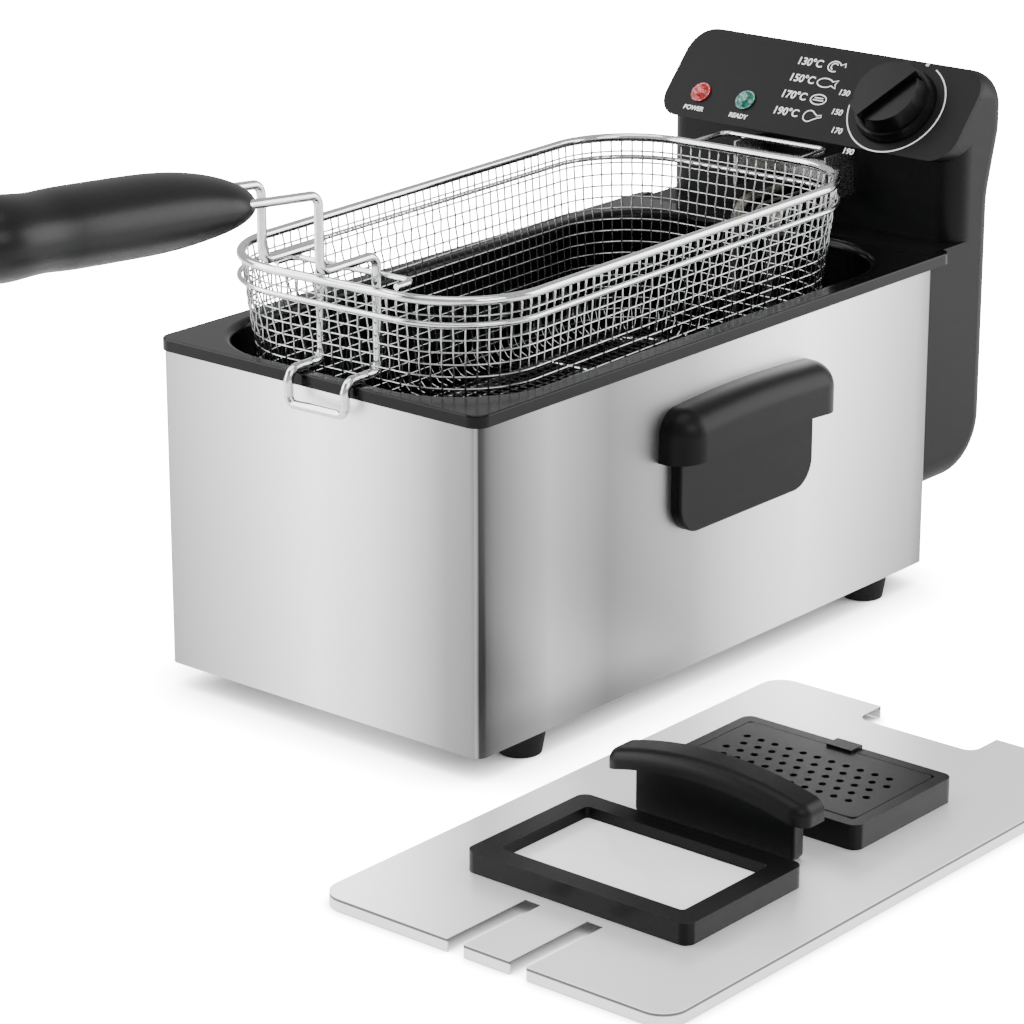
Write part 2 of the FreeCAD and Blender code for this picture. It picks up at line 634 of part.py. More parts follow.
def make_head_shells():
    """Front and rear covers and the sloping control panel, split from one hollow form."""
    outer, inner = head_solid(0), head_solid(dim("headWall"))
    slab = panel_slab(dim("panelThick"))
    panel = outer.common(slab)
    shell = outer.cut(inner).cut(slab)
    split = dim("headSplit")
    front_half = Part.makeBox(400, split, 400, Vector(-200, 0, 0))
    front, rear = shell.common(front_half), shell.cut(front_half)

    holes = [panel_rod(dim("knobX"), 0, -20, 20, dim("shaftRadius + runGap"))]
    for x in (dim("redLampX"), dim("greenLampX")):
        holes.append(panel_rod(x, dim("lampUp"), -20, 20, dim("lampRadius + 0.1")))
    keep("control_panel", own_shape("control_panel", panel.cut(holes)))

    slots = []
    slot = dim("dockWidth") + 1.6
    for side in (-1, 1):
        corner = Vector(side * dim("dockSpacing / 2") - slot / 2, head_front() - 1,
                        dim("headBottom") - 1)
        slots.append(Part.makeBox(slot, dim("dockReach") + 1.5, dim("dockTop") + 2 - corner.z,
                                  corner))
    leg = dim("elementRadius") + 0.3
    for side in (-1, 1):
        start = Vector(side * dim("elementRiserX"), dim("neckFront") - 5, dim("elementLevel"))
        slots.append(Part.makeCylinder(leg, 20, start, Vector(0, 1, 0)))
    start = Vector(0, dim("neckFront") - 5, dim("elementLevel"))
    slots.append(Part.makeCylinder(dim("capillaryRadius") + 0.3, 20, start, Vector(0, 1, 0)))
    back = Vector(0, 1, 0)
    pillars = []
    for spot in screw_spots():
        start = pillar_start(spot)
        pillars.append(Part.makeCylinder(5, split - start.y, start, back))
        slots.append(Part.makeCylinder(dim("headScrewRadius + 0.1"), 60, start + back * 2, back))
    keep("head_front_cover", own_shape("head_front_cover", front.fuse(pillars).cut(slots)))

    cuts, bosses = [], []
    for spot in screw_spots():
        bosses.append(Part.makeCylinder(5, dim("headRear") - split - 1,
                                        Vector(spot.x, split, spot.z), back))
        cuts.append(Part.makeCylinder(dim("headScrewRadius") + 0.2, 60,
                                      spot - back * 40, back))
        cuts.append(Part.makeCylinder(dim("headScrewRadius") * 2 + 0.4, 10,
                                      spot - back * 4, back))
    inlet = Vector(dim("inletX"), dim("headRear") - 12, dim("inletLevel"))
    cuts.append(Part.makeCylinder(dim("grommetRadius") - 2.5, 30, inlet, back))
    reset = Vector(dim("resetX"), dim("headRear") - 12, dim("resetLevel"))
    cuts.append(Part.makeCylinder(dim("resetRadius + runGap"), 30, reset, back))
    keep("head_rear_cover", own_shape("head_rear_cover", rear.fuse(bosses).cut(cuts)))


def make_head_screws():
    """Four screws that draw the rear cover on to the front cover's pillars."""
    back = Vector(0, 1, 0)
    radius = dim("headScrewRadius")
    screws = []
    for spot in screw_spots():
        seat = spot - back * 4
        start = pillar_start(spot) + back * 4
        head = Part.makeCylinder(radius * 2, 2.2, seat, back)
        screws.append(head.fuse(Part.makeCylinder(radius, seat.y - start.y, start, back)))
    keep("head_screws", own_shape("head_screws", Part.makeCompound(screws)))


def make_dial():
    """Dial knob with a raised bar, on the thermostat's shaft."""
    skirt = cone("knob_skirt", "0", "0", "0.8", "knobRadius", "knobRadius - 1.5", "knobSkirt")
    crown = cone("knob_crown", "0", "0", "0.8 + knobSkirt", "knobRadius - 3", "knobRadius - 5",
                 "knobHeight - knobSkirt - 4")
    bar = block("knob_bar", "-5", "4 - knobRadius", "0.8 + knobSkirt", "10",
                "2 * knobRadius - 8", "knobHeight - knobSkirt")
    socket = rod("knob_socket", "0", "0", "0", "shaftRadius + 0.05", "knobHeight - 5")
    keep("temperature_knob", cut("temperature_knob", fuse("knob_form", [skirt, crown, bar]),
                                 [socket]), "dial")
    keep("thermostat_shaft", rod("thermostat_shaft", "0", "0", "-8", "shaftRadius",
                                 "knobHeight + 2"), "dial")
    case = block("thermostat_case", "knobX - 16", "-14", "-panelThick - 24", "32", "28", "20")
    bush = rod("thermostat_bush", "knobX", "0", "-panelThick - 5", "shaftRadius + 2.5", "4.6")
    bore = rod("thermostat_bore", "knobX", "0", "-9", "shaftRadius + runGap", "12")
    keep("thermostat_body", cut("thermostat_body", fuse("thermostat_form", [case, bush]),
                                [bore]), "panel")


def make_lamps():
    """Two indicator lamps: a domed jewel lens in the panel and a lamp body behind it."""
    for x, name in (("redLampX", "power"), ("greenLampX", "ready")):
        stem = rod("lens_stem", x, "lampUp", "-panelThick", "lampRadius - 0.1", "panelThick + 0.2")
        rim = rod("lens_rim", x, "lampUp", "0.2", "lampRadius + 0.8", "0.8")
        dome = cone("lens_dome", x, "lampUp", "1", "lampRadius", "lampRadius - 2.2", "2.6")
        keep(name + "_lamp_lens", fuse(name + "_lamp_lens", [stem, rim, dome]), "panel")
        keep(name + "_lamp_body", rod(name + "_lamp_body", x, "lampUp", "-panelThick - 15",
                                      "lampRadius + 0.6", "14.8"), "panel")


def element_path():
    """Double loop on the pot's floor, with two risers that pass over the rear rim."""
    riser = dim("casingLength - potRearMargin - elementRearGap") - dim("elementRadius")
    level = dim("casingTop + rimHeight - potDepth + elementFloorGap")
    level += dim("elementRadius")
    x0, x1, x2 = dim("elementRiserX"), dim("elementInnerX"), dim("elementOuterX")
    front = dim("potFrontMargin + elementFrontGap")
    bend = dim("elementBend")
    high = dim("elementLevel")
    half = [(x0, dim("neckFront") + 12, high, 0), (x0, riser, high, bend),
            (x0, riser, level, bend), (x0, riser - 32, level, bend),
            (x2, riser - 60, level, bend), (x2, front, level, bend), (x1, front, level, bend),
            (x1, riser - 84, level, bend)]
    points = [(Vector(x, y, z), r) for x, y, z, r in half]
    return points + [(Vector(-p.x, p.y, p.z), r) for p, r in reversed(points)]


def make_element():
    """Sheathed heating element with its sensor bulb, capillary and the clip between them."""
    path = element_path()
    radius = dim("elementRadius")
    keep("heating_element", own_shape("heating_element", tube(path, radius)))

    level = path[2][0].z + radius + dim("bulbRadius") + 1
    rear = path[7][0].y
    riser = path[1][0].y
    bulb_start = rear + 14
    bulb = Part.makeCylinder(dim("bulbRadius"), dim("bulbLength"),
                             Vector(0, bulb_start, level), Vector(0, -1, 0))
    bulb = bulb.makeFillet(1.2, bulb.Edges[:1])
    thin = dim("capillaryRadius")
    route = [(Vector(0, dim("neckFront") + 12, dim("elementLevel")), 0),
             (Vector(0, riser, dim("elementLevel")), 8), (Vector(0, riser, level), 8),
             (Vector(0, bulb_start, level), 0)]
    keep("sensor_bulb", own_shape("sensor_bulb", bulb))
    keep("capillary_tube", own_shape("capillary_tube", tube(route, thin)))
    low = path[7][0].z
    clip = Part.makeBox(12, 9, level + dim("bulbRadius") + 1.5 - low, Vector(-6, rear - 4.5, low))
    clip = clip.cut(Part.makeCylinder(dim("bulbRadius") + 0.05, 20,
                                      Vector(0, rear - 10, level), Vector(0, 1, 0)))
    clip = clip.cut(Part.makeCylinder(radius + 0.05, 40, Vector(-20, rear, low),
                                      Vector(1, 0, 0)))
    keep("sensor_clip", own_shape("sensor_clip", clip))


def make_bracket():
    """Steel hanger on the head's front face; the basket's back rests against its cheeks."""
    half, gauge, reach = "bracketHalfWidth", "bracketGauge", "bracketReach"
    front = "neckFront - 0.1 - bracketGauge"
    web = block("bracket_web", "-" + half, front, "bracketBottom", "2 * " + half, gauge,
                "bracketHeight - 13")
    parts = [web]
    rivets = []
    for side in (-1, 1):
        x = "%d * (%s - %s / 2) - %s / 2" % (side, half, gauge, gauge)
        parts.append(block("cheek", x, "neckFront - 0.1 - " + reach, "bracketBottom - 4", gauge,
                           reach, "bracketHeight"))
        face = "%s + %s" % (x, gauge if side > 0 else "-1.6")
        rivets.append(rod("rivet", face, "neckFront - bracketReach + 11", "bracketBottom + 9",
                          "rivetRadius", "1.6", "X"))
    keep("hanger_bracket", fuse("hanger_bracket", parts))
    keep("bracket_rivets", group("bracket_rivets", rivets))


def make_head_inside():
    """What the head holds: terminals, safety switch, thermal cut-out, reset button, grommet."""
    x, y, z = "20", "casingLength + 9", "headBottom + 12"
    base = block("terminal_base", x, y, z, "44", "12", "16")
    wells = [rod("terminal_well", "%s + 6 + %d" % (x, 8 * i), y, z + " + 10", "2.2", "8", "Y")
             for i in range(5)]
    keep("terminal_block", cut("terminal_block", base, wells))
    keep("safety_switch", block("safety_switch", "-12", "casingLength + 9", "headBottom + 8",
                                "22", "8", "12"))
    case = block("cutout_case", "resetX - 14", "headRear - headWall - 19", "resetLevel - 9",
                 "28", "12", "18")
    nose = rod("cutout_nose", "resetX", "headRear - headWall - 7.1", "resetLevel",
               "resetRadius + 2.5", "3.5", "Y")
    well = rod("cutout_well", "resetX", "headRear - headWall - 11", "resetLevel",
               "resetRadius + runGap", "14", "Y")
    keep("thermal_cutout", cut("thermal_cutout", fuse("cutout_form", [case, nose]), [well]))
    keep("reset_button", rod("reset_button", "resetX", "headRear - headWall - 11 + resetTravel + 1",
                             "resetLevel", "resetRadius", "headWall + 11.5 - 1", "Y"))
    sleeve = rod("grommet_sleeve", "inletX", "headRear - headWall - 6", "inletLevel",
                 "grommetRadius - 2.6", "headWall + 6.2", "Y")
    flange = rod("grommet_flange", "inletX", "headRear + 0.1", "inletLevel", "grommetRadius",
                 "2.5", "Y")
    bore = rod("grommet_bore", "inletX", "headRear - headWall - 8", "inletLevel", "inletRadius",
               "20", "Y")
    keep("inlet_grommet", cut("inlet_grommet", fuse("grommet_form", [sleeve, flange]), [bore]))


# ==== basket, drawn about its own middle ====

def basket_ring(inset, level):
    """Corner points of the basket's plan at a level, as (Vector, radius)."""
    half = dim("basketHalfWidth") - inset
    rear = dim("basketLength / 2") - inset
    drop = min((dim("basketRimLevel") - level) / dim("basketKnee"), 1)
    front = drop * dim("basketFrontTaper") - rear
    corner = dim("basketCorner") - inset * 0.6
    return [(Vector(x, y, level), corner) for x, y in
            ((-half, front), (half, front), (half, rear), (-half, rear))]


def basket_inset(level):
    return (dim("basketRimLevel") - level) / dim("basketDepth") * dim("basketTaper")


def tub(inset, floor, top):
    chamfer = 6
    knee = dim("basketRimLevel - basketKnee")
    rings = [basket_ring(inset + basket_inset(floor) + chamfer, floor)]
    rings += [basket_ring(inset + basket_inset(z), z) for z in (floor + chamfer, knee, top)]
    return Part.makeLoft([rounded_wire(ring) for ring in rings], True, True)


def handle_points(side):
    """One leg of the handle wire, from inside the grip down to the drain hook."""
    mid = dim("basketMidY")
    x = side * dim("handleSpacing / 2")
    bend = dim("handleBend")
    level = dim("handleLevel")
    over_rim = dim("casingTop + rimHeight + handleWireRadius + rimGap")
    inner = dim("gripTip - wireInGrip")
    front, rear = dim("handleFront"), dim("capRear")
    hook = -dim("rimGap + rimGauge + handleWireRadius + hookGap")
    spots = [(inner, level + dim("handleRise"), 0), (front, level, bend),
             (front, dim("capLevel"), bend), (rear, dim("capLevel"), bend),
             (rear, over_rim, bend - 1), (hook, over_rim, bend),
             (hook, over_rim - dim("hookDrop"), bend - 2)]
    return [(Vector(x, y - mid, z), r) for y, z, r in spots]


def make_basket():
    """Wire basket: mesh tub, rim wire, hoop below the rim and a frame under the bottom."""
    top, floor = dim("basketRimLevel"), dim("basketRimLevel - basketDepth")
    wall, wire = dim("basketWall"), dim("rimWireRadius")
    outer = tub(wire - wall / 2, floor, top - wire)
    inner = tub(wire + wall / 2, floor + wall, top - wire)
    mesh = outer.cut(inner)
    passage = []
    leg = dim("handleWireRadius") + 0.4
    for side in (-1, 1):
        spot = handle_points(side)[5][0]
        passage.append(Part.makeCylinder(leg, 30, spot - Vector(0, 2, 0), Vector(0, 1, 0)))
    keep("basket_mesh", own_shape("basket_mesh", mesh.cut(passage)), "basket")
    rim = tube(basket_ring(wire, top), wire, closed=True)
    keep("basket_rim", own_shape("basket_rim", rim), "basket")
    thin = dim("hoopWireRadius")
    hoop_level = top - 11
    hoop = tube(basket_ring(wire - wall / 2 - thin - 0.1 + basket_inset(hoop_level), hoop_level),
                thin, closed=True)
    keep("basket_hoop", own_shape("basket_hoop", hoop), "basket")
    base = dim("baseWireRadius")
    level = floor - base - 0.1
    frame = tube(basket_ring(basket_inset(floor) + 22, level), base, closed=True)
    half = dim("basketHalfWidth") - basket_inset(floor) - 22
    bars = [Part.makeCylinder(base, 2 * half, Vector(-half, y, level), Vector(1, 0, 0))
            for y in (-dim("basketLength / 5"), dim("basketLength / 5"))]
    keep("basket_base_frame", own_shape("basket_base_frame", frame.fuse(bars)), "basket")

    half = dim("bracketHalfWidth") + 3
    start = dim("basketLength / 2") + 0.1
    reach = dim("neckFront - bracketReach + 8 - basketMidY")
    rest = dim("bracketBottom - 4 + bracketHeight") + 0.3 + base
    loop = tube([(Vector(-half, start, rest), 0), (Vector(-half, reach, rest), 5),
                 (Vector(half, reach, rest), 5), (Vector(half, start, rest), 0)], base)
    keep("basket_rest_loop", own_shape("basket_rest_loop", loop), "basket")


def nose(along, share):
    """Share of full size along a rounded end that takes up a share of the length."""
    return math.sqrt(1 - (1 - min(along / share, 1)) ** 2)


def make_basket_handle():
    """One bent wire: two legs from the grip, over the basket's rim, down to the drain hook."""
    path = handle_points(-1) + list(reversed(handle_points(1)))
    wire = tube(path, dim("handleWireRadius"))
    keep("basket_handle_wire", own_shape("basket_handle_wire", wire), "basket")

    mid = dim("basketMidY")
    thin = dim("baseWireRadius")
    level = dim("capLevel - handleWireRadius") - thin - 0.1
    half = dim("handleSpacing") + 2
    rear = dim("capRear") - mid + dim("handleWireRadius") + thin + 0.1
    front = dim("basketFront") + 3 - mid
    low = dim("basketRimLevel + rimWireRadius") + thin + 0.1
    brace = tube([(Vector(-half, front, low), 0), (Vector(-half, rear, low), 5),
                  (Vector(half, rear, low), 5), (Vector(half, front, low), 0)], thin)
    keep("handle_brace", own_shape("handle_brace", brace), "basket")

    tip, length, tilt = dim("gripTip") - mid, dim("gripLength"), math.radians(dim("gripTilt"))
    start = Vector(0, tip, dim("gripLevel"))
    heading = Vector(0, -math.cos(tilt), math.sin(tilt))
    upward = Vector(0, math.sin(tilt), math.cos(tilt))
    half_wide, half_high = dim("gripWidth / 2"), dim("gripHeight / 2")
    rings = []
    for along in (0.003, 0.02, 0.06, 0.12, 0.2, 0.3, 0.42, 0.6, 0.8, 0.92, 0.975, 0.997):
        centre = start + heading * (along * length)
        butt = min((1 - along) / 0.12, 1)
        a = half_wide * nose(along, 0.14) * nose(butt, 1)
        b = half_high * nose(along, 0.4) * nose(butt, 1)
        ring = Part.Ellipse(centre + Vector(1, 0, 0) * a, centre + upward * b, centre)
        rings.append(Part.Wire([ring.toShape()]))
    grip = Part.makeLoft(rings, True, False)
    clear = dim("handleWireRadius") + 0.1
    for side in (-1, 1):
        first, second = [spot for spot, _ in handle_points(side)[:2]]
        way = (second - first).normalize()
        grip = grip.cut(Part.makeCylinder(clear, 60, first - way * 0.5, way))
    keep("handle_grip", own_shape("handle_grip", grip), "basket")


# ==== lid, drawn about its own middle ====

def make_lid_sheet():
    """Pressed steel lid with a folded edge, two slots for the handle wires and a rear notch."""
    half_w, half_l = "lidWidth / 2", "lidLength / 2"
    body = plate("lid", "-" + half_w, half_w, "-" + half_l, half_l, "0", "lidFold", "lidCorner")
    hollow = plate("lid_hollow", "-%s + lidGauge" % half_w, half_w + " - lidGauge",
                   "-%s + lidGauge" % half_l, half_l + " - lidGauge", "-1",
                   "lidFold - lidGauge + 1", "lidCorner - lidGauge")
    slots = []
    for side in (-1, 1):
        middle = "%d * handleSpacing / 2" % side
        slots.append((middle + " - slotWidth / 2", middle + " + slotWidth / 2",
                      "-%s - 1" % half_l, "-%s + slotLength" % half_l))
    pocket(body, "lidFold", "lidFold", slots)
    pocket(body, "lidFold", "lidFold", [("-notchWidth / 2", "notchWidth / 2",
                                         half_l + " - notchDepth", half_l + " + 20")],
           corner="notchCorner")
    bar = "windowBar + windowRebate"
    pocket(body, "lidFold", "lidFold",
           [("-windowWidth / 2 + " + bar, "windowWidth / 2 - " + bar.replace("+", "-"),
             "windowY - windowDepth / 2 + " + bar,
             "windowY + windowDepth / 2 - " + bar.replace("+", "-"))])
    rim = "filterRim + 6"
    pocket(body, "lidFold", "lidFold",
           [("-filterWidth / 2 + " + rim, "filterWidth / 2 - " + rim.replace("+", "-"),
             "filterY - filterDepth / 2 + " + rim,
             "filterY + filterDepth / 2 - " + rim.replace("+", "-"))])
    pocket(body, "lidFold", "lidFold", circles=[
        ("%d * lidScrewSpacing / 2" % side, "lidGripY", "lidScrewRadius + 0.2")
        for side in (-1, 1)])
    keep("lid_sheet", cut("lid_sheet", body, [hollow]), "lid")


def make_window():
    """Viewing window: black frame, glass and a seal between the glass and the lid."""
    half_w, half_d = "windowWidth / 2", "windowDepth / 2"

    def ring(edge):
        return ("-%s + %s" % (half_w, edge), "%s - (%s)" % (half_w, edge),
                "windowY - %s + %s" % (half_d, edge), "windowY + %s - (%s)" % (half_d, edge))

    frame = plate("window_frame_body", *ring("0"), "lidFold", "windowHeight", "windowCorner")
    pocket(frame, "lidFold + windowHeight", "windowHeight", [ring("windowBar")], corner="2")
    rebate = "windowBar - windowRebate"
    pocket(frame, "lidFold + glassGauge + sealGauge + 0.1", "glassGauge + sealGauge + 0.1",
           [ring(rebate)])
    keep("window_frame", frame, "lid")
    x0, x1, y0, y1 = ring(rebate + " + 0.3")
    glass = block("glass", x0, y0, "lidFold + sealGauge", "(%s) - (%s)" % (x1, x0),
                  "(%s) - (%s)" % (y1, y0), "glassGauge")
    keep("window_glass", glass, "lid")
    seal = block("seal", x0, y0, "lidFold", "(%s) - (%s)" % (x1, x0), "(%s) - (%s)" % (y1, y0),
                 "sealGauge")
    u0, u1, v0, v1 = ring("windowBar + windowRebate")
    middle = block("seal_opening", u0, v0, "lidFold - 1", "(%s) - (%s)" % (u1, u0),
                   "(%s) - (%s)" % (v1, v0), "5")
    keep("window_seal", cut("window_seal", seal, [middle]), "lid")


def make_filter():
    """Vent filter: open housing on the lid, a filter pad in it and a perforated cover."""
    half_w, half_d = "filterWidth / 2", "filterDepth / 2"

    def ring(edge):
        return ("-%s + %s" % (half_w, edge), "%s - (%s)" % (half_w, edge),
                "filterY - %s + %s" % (half_d, edge), "filterY + %s - (%s)" % (half_d, edge))

    top = "lidFold + filterHeight"
    housing = plate("filter_housing_body", *ring("0"), "lidFold", "filterHeight", "filterCorner")
    pocket(housing, top, "filterHeight - filterFloor", [ring("filterRim")], corner="3")
    pocket(housing, top, "coverGauge + 0.3", [ring("filterRim - 2")], corner="1.5")
    pocket(housing, top, "coverGauge + 0.3",
           [("-tabWidth / 2 - coverGap", "tabWidth / 2 + coverGap",
             "filterY + %s - filterRim" % half_d, "filterY + %s + 1" % half_d)])
    vents = []
    for i in range(7):
        x = "%d * 12" % (i - 3)
        vents.append((x + " - 3", x + " + 3", "filterY - 18", "filterY + 18"))
    pocket(housing, "lidFold + filterFloor", "filterFloor", vents)
    keep("filter_housing", housing, "lid")

    x0, x1, y0, y1 = ring("filterRim + 1")
    pad = block("pad", x0, y0, "lidFold + filterFloor", "(%s) - (%s)" % (x1, x0),
                "(%s) - (%s)" % (y1, y0), "padGauge")
    keep("filter_pad", pad, "lid")

    x0, x1, y0, y1 = ring("filterRim - 2 + coverGap")
    pivot = y0 + " + coverGauge / 2"
    cover = plate("filter_cover_body", x0, x1, pivot, y1, top + " - coverGauge", "coverGauge", "3")
    hinge_edge = rod("cover_hinge_edge", x0 + " + 4", pivot, top + " - coverGauge / 2",
                     "coverGauge / 2", "(%s) - (%s) - 8" % (x1, x0), "X")
    cells = []
    for column in range(int(sizes["ventColumns"])):
        for row in range(int(sizes["ventRows"])):
            along = column - (sizes["ventColumns"] - 1) / 2 + (0.25 if row % 2 else -0.25)
            x = "%g * ventPitch" % along
            y = "filterY + %g * ventPitch" % (row - (sizes["ventRows"] - 1) / 2)
            cells.append(rod("vent_cell", x, y, "lidFold", "ventCell / 2", "filterHeight + 5"))
    tab = block("cover_tab", "-tabWidth / 2", "filterY + %s - filterRim" % half_d,
                top + " - coverGauge", "tabWidth", "tabLength + 1", "coverGauge + 1.2")
    keep("filter_cover", cut("filter_cover", fuse("filter_cover_form", [cover, hinge_edge, tab]),
                             [group("vent_cells", cells)]), "lid")


def make_lid_grip():
    """Upright hand grip in the middle of the lid, held by two screws from below."""
    height = dim("lidGripHeight - lidGripLip - lidGripCrown")
    thick = dim("lidGripThick")
    grip = grip_shape(dim("lidGripWeb"), height, thick, 3, dim("lidGripWidth"),
                      dim("lidGripReach"), dim("lidGripLip"), dim("lidGripCrown"),
                      dim("lidGripEndRound"), dim("lidGripTopRound"))
    grip.rotate(Vector(), Vector(0, 0, 1), -90)
    grip.translate(Vector(0, dim("lidGripY") + thick / 2, dim("lidFold")))
    radius = dim("lidScrewRadius")
    screws = []
    for side in (-1, 1):
        spot = Vector(side * dim("lidScrewSpacing / 2"), dim("lidGripY"), 0)
        seat = spot + Vector(0, 0, dim("lidFold - lidGauge"))
        head = Part.makeCylinder(radius * 2.2, 2, seat - Vector(0, 0, 2))
        screws.append(head.fuse(Part.makeCylinder(radius, 13, seat)))
        grip = grip.cut(Part.makeCylinder(radius + 0.1, 14, seat))
    keep("lid_handle", own_shape("lid_handle", grip), "lid")
    keep("lid_handle_screws", own_shape("lid_handle_screws", Part.makeCompound(screws)), "lid")


# ==== build, centre, check and write ====

for make in (make_casing, make_base, make_feet, make_dock_rails, make_pot, make_side_handles,
             make_head_shells, make_head_screws, make_dial, make_lamps, make_element,
             make_bracket, make_head_inside, make_basket, make_basket_handle,
             make_lid_sheet, make_window, make_filter, make_lid_grip):
    make()
doc.recompute()

span = FreeCAD.BoundBox()
for made in subparts:
    span.add(made.Shape.optimalBoundingBox(False))
sheet.set(sheet.getCellFromAlias("shiftX"), str(round(-span.Center.x, 3)))
sheet.set(sheet.getCellFromAlias("shiftY"), str(round(-span.Center.y, 3)))
doc.recompute()

faults = [made.Name for made in doc.Objects if {"Invalid", "Error"} & set(made.State)]
faults += [made.Label for made in subparts if made.Shape.isNull() or not made.Shape.isValid()]
if faults:
    raise RuntimeError("failed pieces: " + ", ".join(faults))

os.makedirs("parts", exist_ok=True)
for made in subparts:
    made.Shape.exportStep("parts/%s.step" % made.Label)
    print("%-22s %2d solid(s) %10.1f mm3" % (made.Label, len(made.Shape.Solids), made.Shape.Volume))
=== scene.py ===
import json
import math

import bmesh
import bpy
from mathutils import Matrix, Vector


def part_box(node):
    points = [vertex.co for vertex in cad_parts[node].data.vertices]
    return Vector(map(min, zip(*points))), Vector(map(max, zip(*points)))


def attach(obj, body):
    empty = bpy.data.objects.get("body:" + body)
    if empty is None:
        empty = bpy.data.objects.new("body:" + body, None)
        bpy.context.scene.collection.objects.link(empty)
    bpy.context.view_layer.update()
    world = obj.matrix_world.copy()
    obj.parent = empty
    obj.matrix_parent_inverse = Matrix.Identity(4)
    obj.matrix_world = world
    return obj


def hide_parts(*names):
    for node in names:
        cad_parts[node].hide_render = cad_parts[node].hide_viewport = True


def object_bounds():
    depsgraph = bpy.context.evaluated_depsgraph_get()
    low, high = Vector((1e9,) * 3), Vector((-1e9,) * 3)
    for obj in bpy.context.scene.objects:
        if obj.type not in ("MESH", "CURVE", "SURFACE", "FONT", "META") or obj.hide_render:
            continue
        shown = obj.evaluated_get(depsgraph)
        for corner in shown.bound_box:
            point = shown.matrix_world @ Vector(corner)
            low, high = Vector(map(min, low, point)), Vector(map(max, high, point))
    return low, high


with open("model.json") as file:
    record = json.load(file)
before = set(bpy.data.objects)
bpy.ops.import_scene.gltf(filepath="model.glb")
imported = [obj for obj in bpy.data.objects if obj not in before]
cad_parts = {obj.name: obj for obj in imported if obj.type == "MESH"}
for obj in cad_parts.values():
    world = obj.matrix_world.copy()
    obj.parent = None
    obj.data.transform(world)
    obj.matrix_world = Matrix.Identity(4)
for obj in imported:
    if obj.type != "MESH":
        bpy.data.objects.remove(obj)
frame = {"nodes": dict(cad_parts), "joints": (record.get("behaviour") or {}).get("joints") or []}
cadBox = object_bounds()
nodes = frame["nodes"]
mm = 0.001

# places that the pieces below share, all worked out from the frame
casingLow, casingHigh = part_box("outer_casing")
fryer = Vector(((casingLow.x + casingHigh.x) / 2, casingLow.y, 0))
panelJoint = next(joint for joint in frame["joints"] if joint["name"] == "dial_turn")
panelOut = Vector(panelJoint["axis"])
panelUp = Vector((0, panelOut.z, -panelOut.y))
dialSpot = Vector(panelJoint["pos_m"])
panelMiddle = Vector((fryer.x, dialSpot.y, dialSpot.z))
print("frame loaded:", len(nodes), "nodes")


# colours, nodes and pieces

def linear(hexText):
    # sRGB hex to the linear values that Blender mixes
    parts = [int(hexText[i:i + 2], 16) / 255 for i in (1, 3, 5)]
    return tuple(p / 12.92 if p <= 0.04045 else ((p + 0.055) / 1.055) ** 2.4 for p in parts) + (1,)


def addNode(tree, kind, settings=None, links=None):
    # settings are properties or input values by name, links are output sockets by input name
    node = tree.nodes.new(kind)
    for name, value in (settings or {}).items():
        if hasattr(node, name) and name not in node.inputs:
            setattr(node, name, value)
        else:
            node.inputs[name].default_value = value
    for name, socket in (links or {}).items():
        tree.links.new(socket, node.inputs[name])
    return node


def newMaterial(name, settings, grain, stretch=(1, 1, 1), detail=3.0, kind="ShaderNodeTexNoise",
                output="Fac"):
    # a material and its one fine pattern; grain is the pattern's size in metres, and a low
    # stretch along an axis draws it out into hairlines
    material = bpy.data.materials.new(name)
    material.use_nodes = True
    tree = material.node_tree
    shader = tree.nodes["Principled BSDF"]
    for key, value in settings.items():
        shader.inputs[key].default_value = value
    place = addNode(tree, "ShaderNodeTexCoord").outputs["Object"]
    drawn = addNode(tree, "ShaderNodeMapping", {"Scale": stretch}, {"Vector": place})
    pattern = addNode(tree, kind, {"Scale": 1 / grain, "Detail": detail},
                      {"Vector": drawn.outputs["Vector"]})
    return material, shader, pattern.outputs[output]


def setRamp(ramp, stops):
    # stops are (position, hex colour)
    band = ramp.color_ramp
    while len(band.elements) < len(stops):
        band.elements.new(0.5)
    for element, (where, colour) in zip(band.elements, stops):
        element.position = where
        element.color = linear(colour)


def tintAndBump(shader, source, colours, roughness=None, bump=None):
    # one pattern drives the colour's small change, the roughness and the bump
    tree = shader.id_data
    if colours:
        ramp = addNode(tree, "ShaderNodeValToRGB", links={"Fac": source})
        setRamp(ramp, list(zip((0.3, 0.7), colours)))
        tree.links.new(ramp.outputs["Color"], shader.inputs["Base Color"])
    if roughness:
        spread = addNode(tree, "ShaderNodeMapRange", {"To Min": roughness[0], "To Max": roughness[1]},
                         {"Value": source})
        tree.links.new(spread.outputs["Result"], shader.inputs["Roughness"])
    if bump:
        relief = addNode(tree, "ShaderNodeBump", {"Strength": bump[0], "Distance": bump[1]},
                         {"Height": source})
        tree.links.new(relief.outputs["Normal"], shader.inputs["Normal"])


def paint(material, *names):
    for name in names:
        mesh = nodes[name].data
        mesh.materials.clear()
        mesh.materials.append(material)


def newPiece(name, mesh, material, body, replaces=()):
    piece = bpy.data.objects.new(name, mesh)
    bpy.context.scene.collection.objects.link(piece)
    if not mesh.materials:
        mesh.materials.append(material)
    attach(piece, body)
    if replaces:
        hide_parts(*replaces)
    return piece


# what the pieces are made of

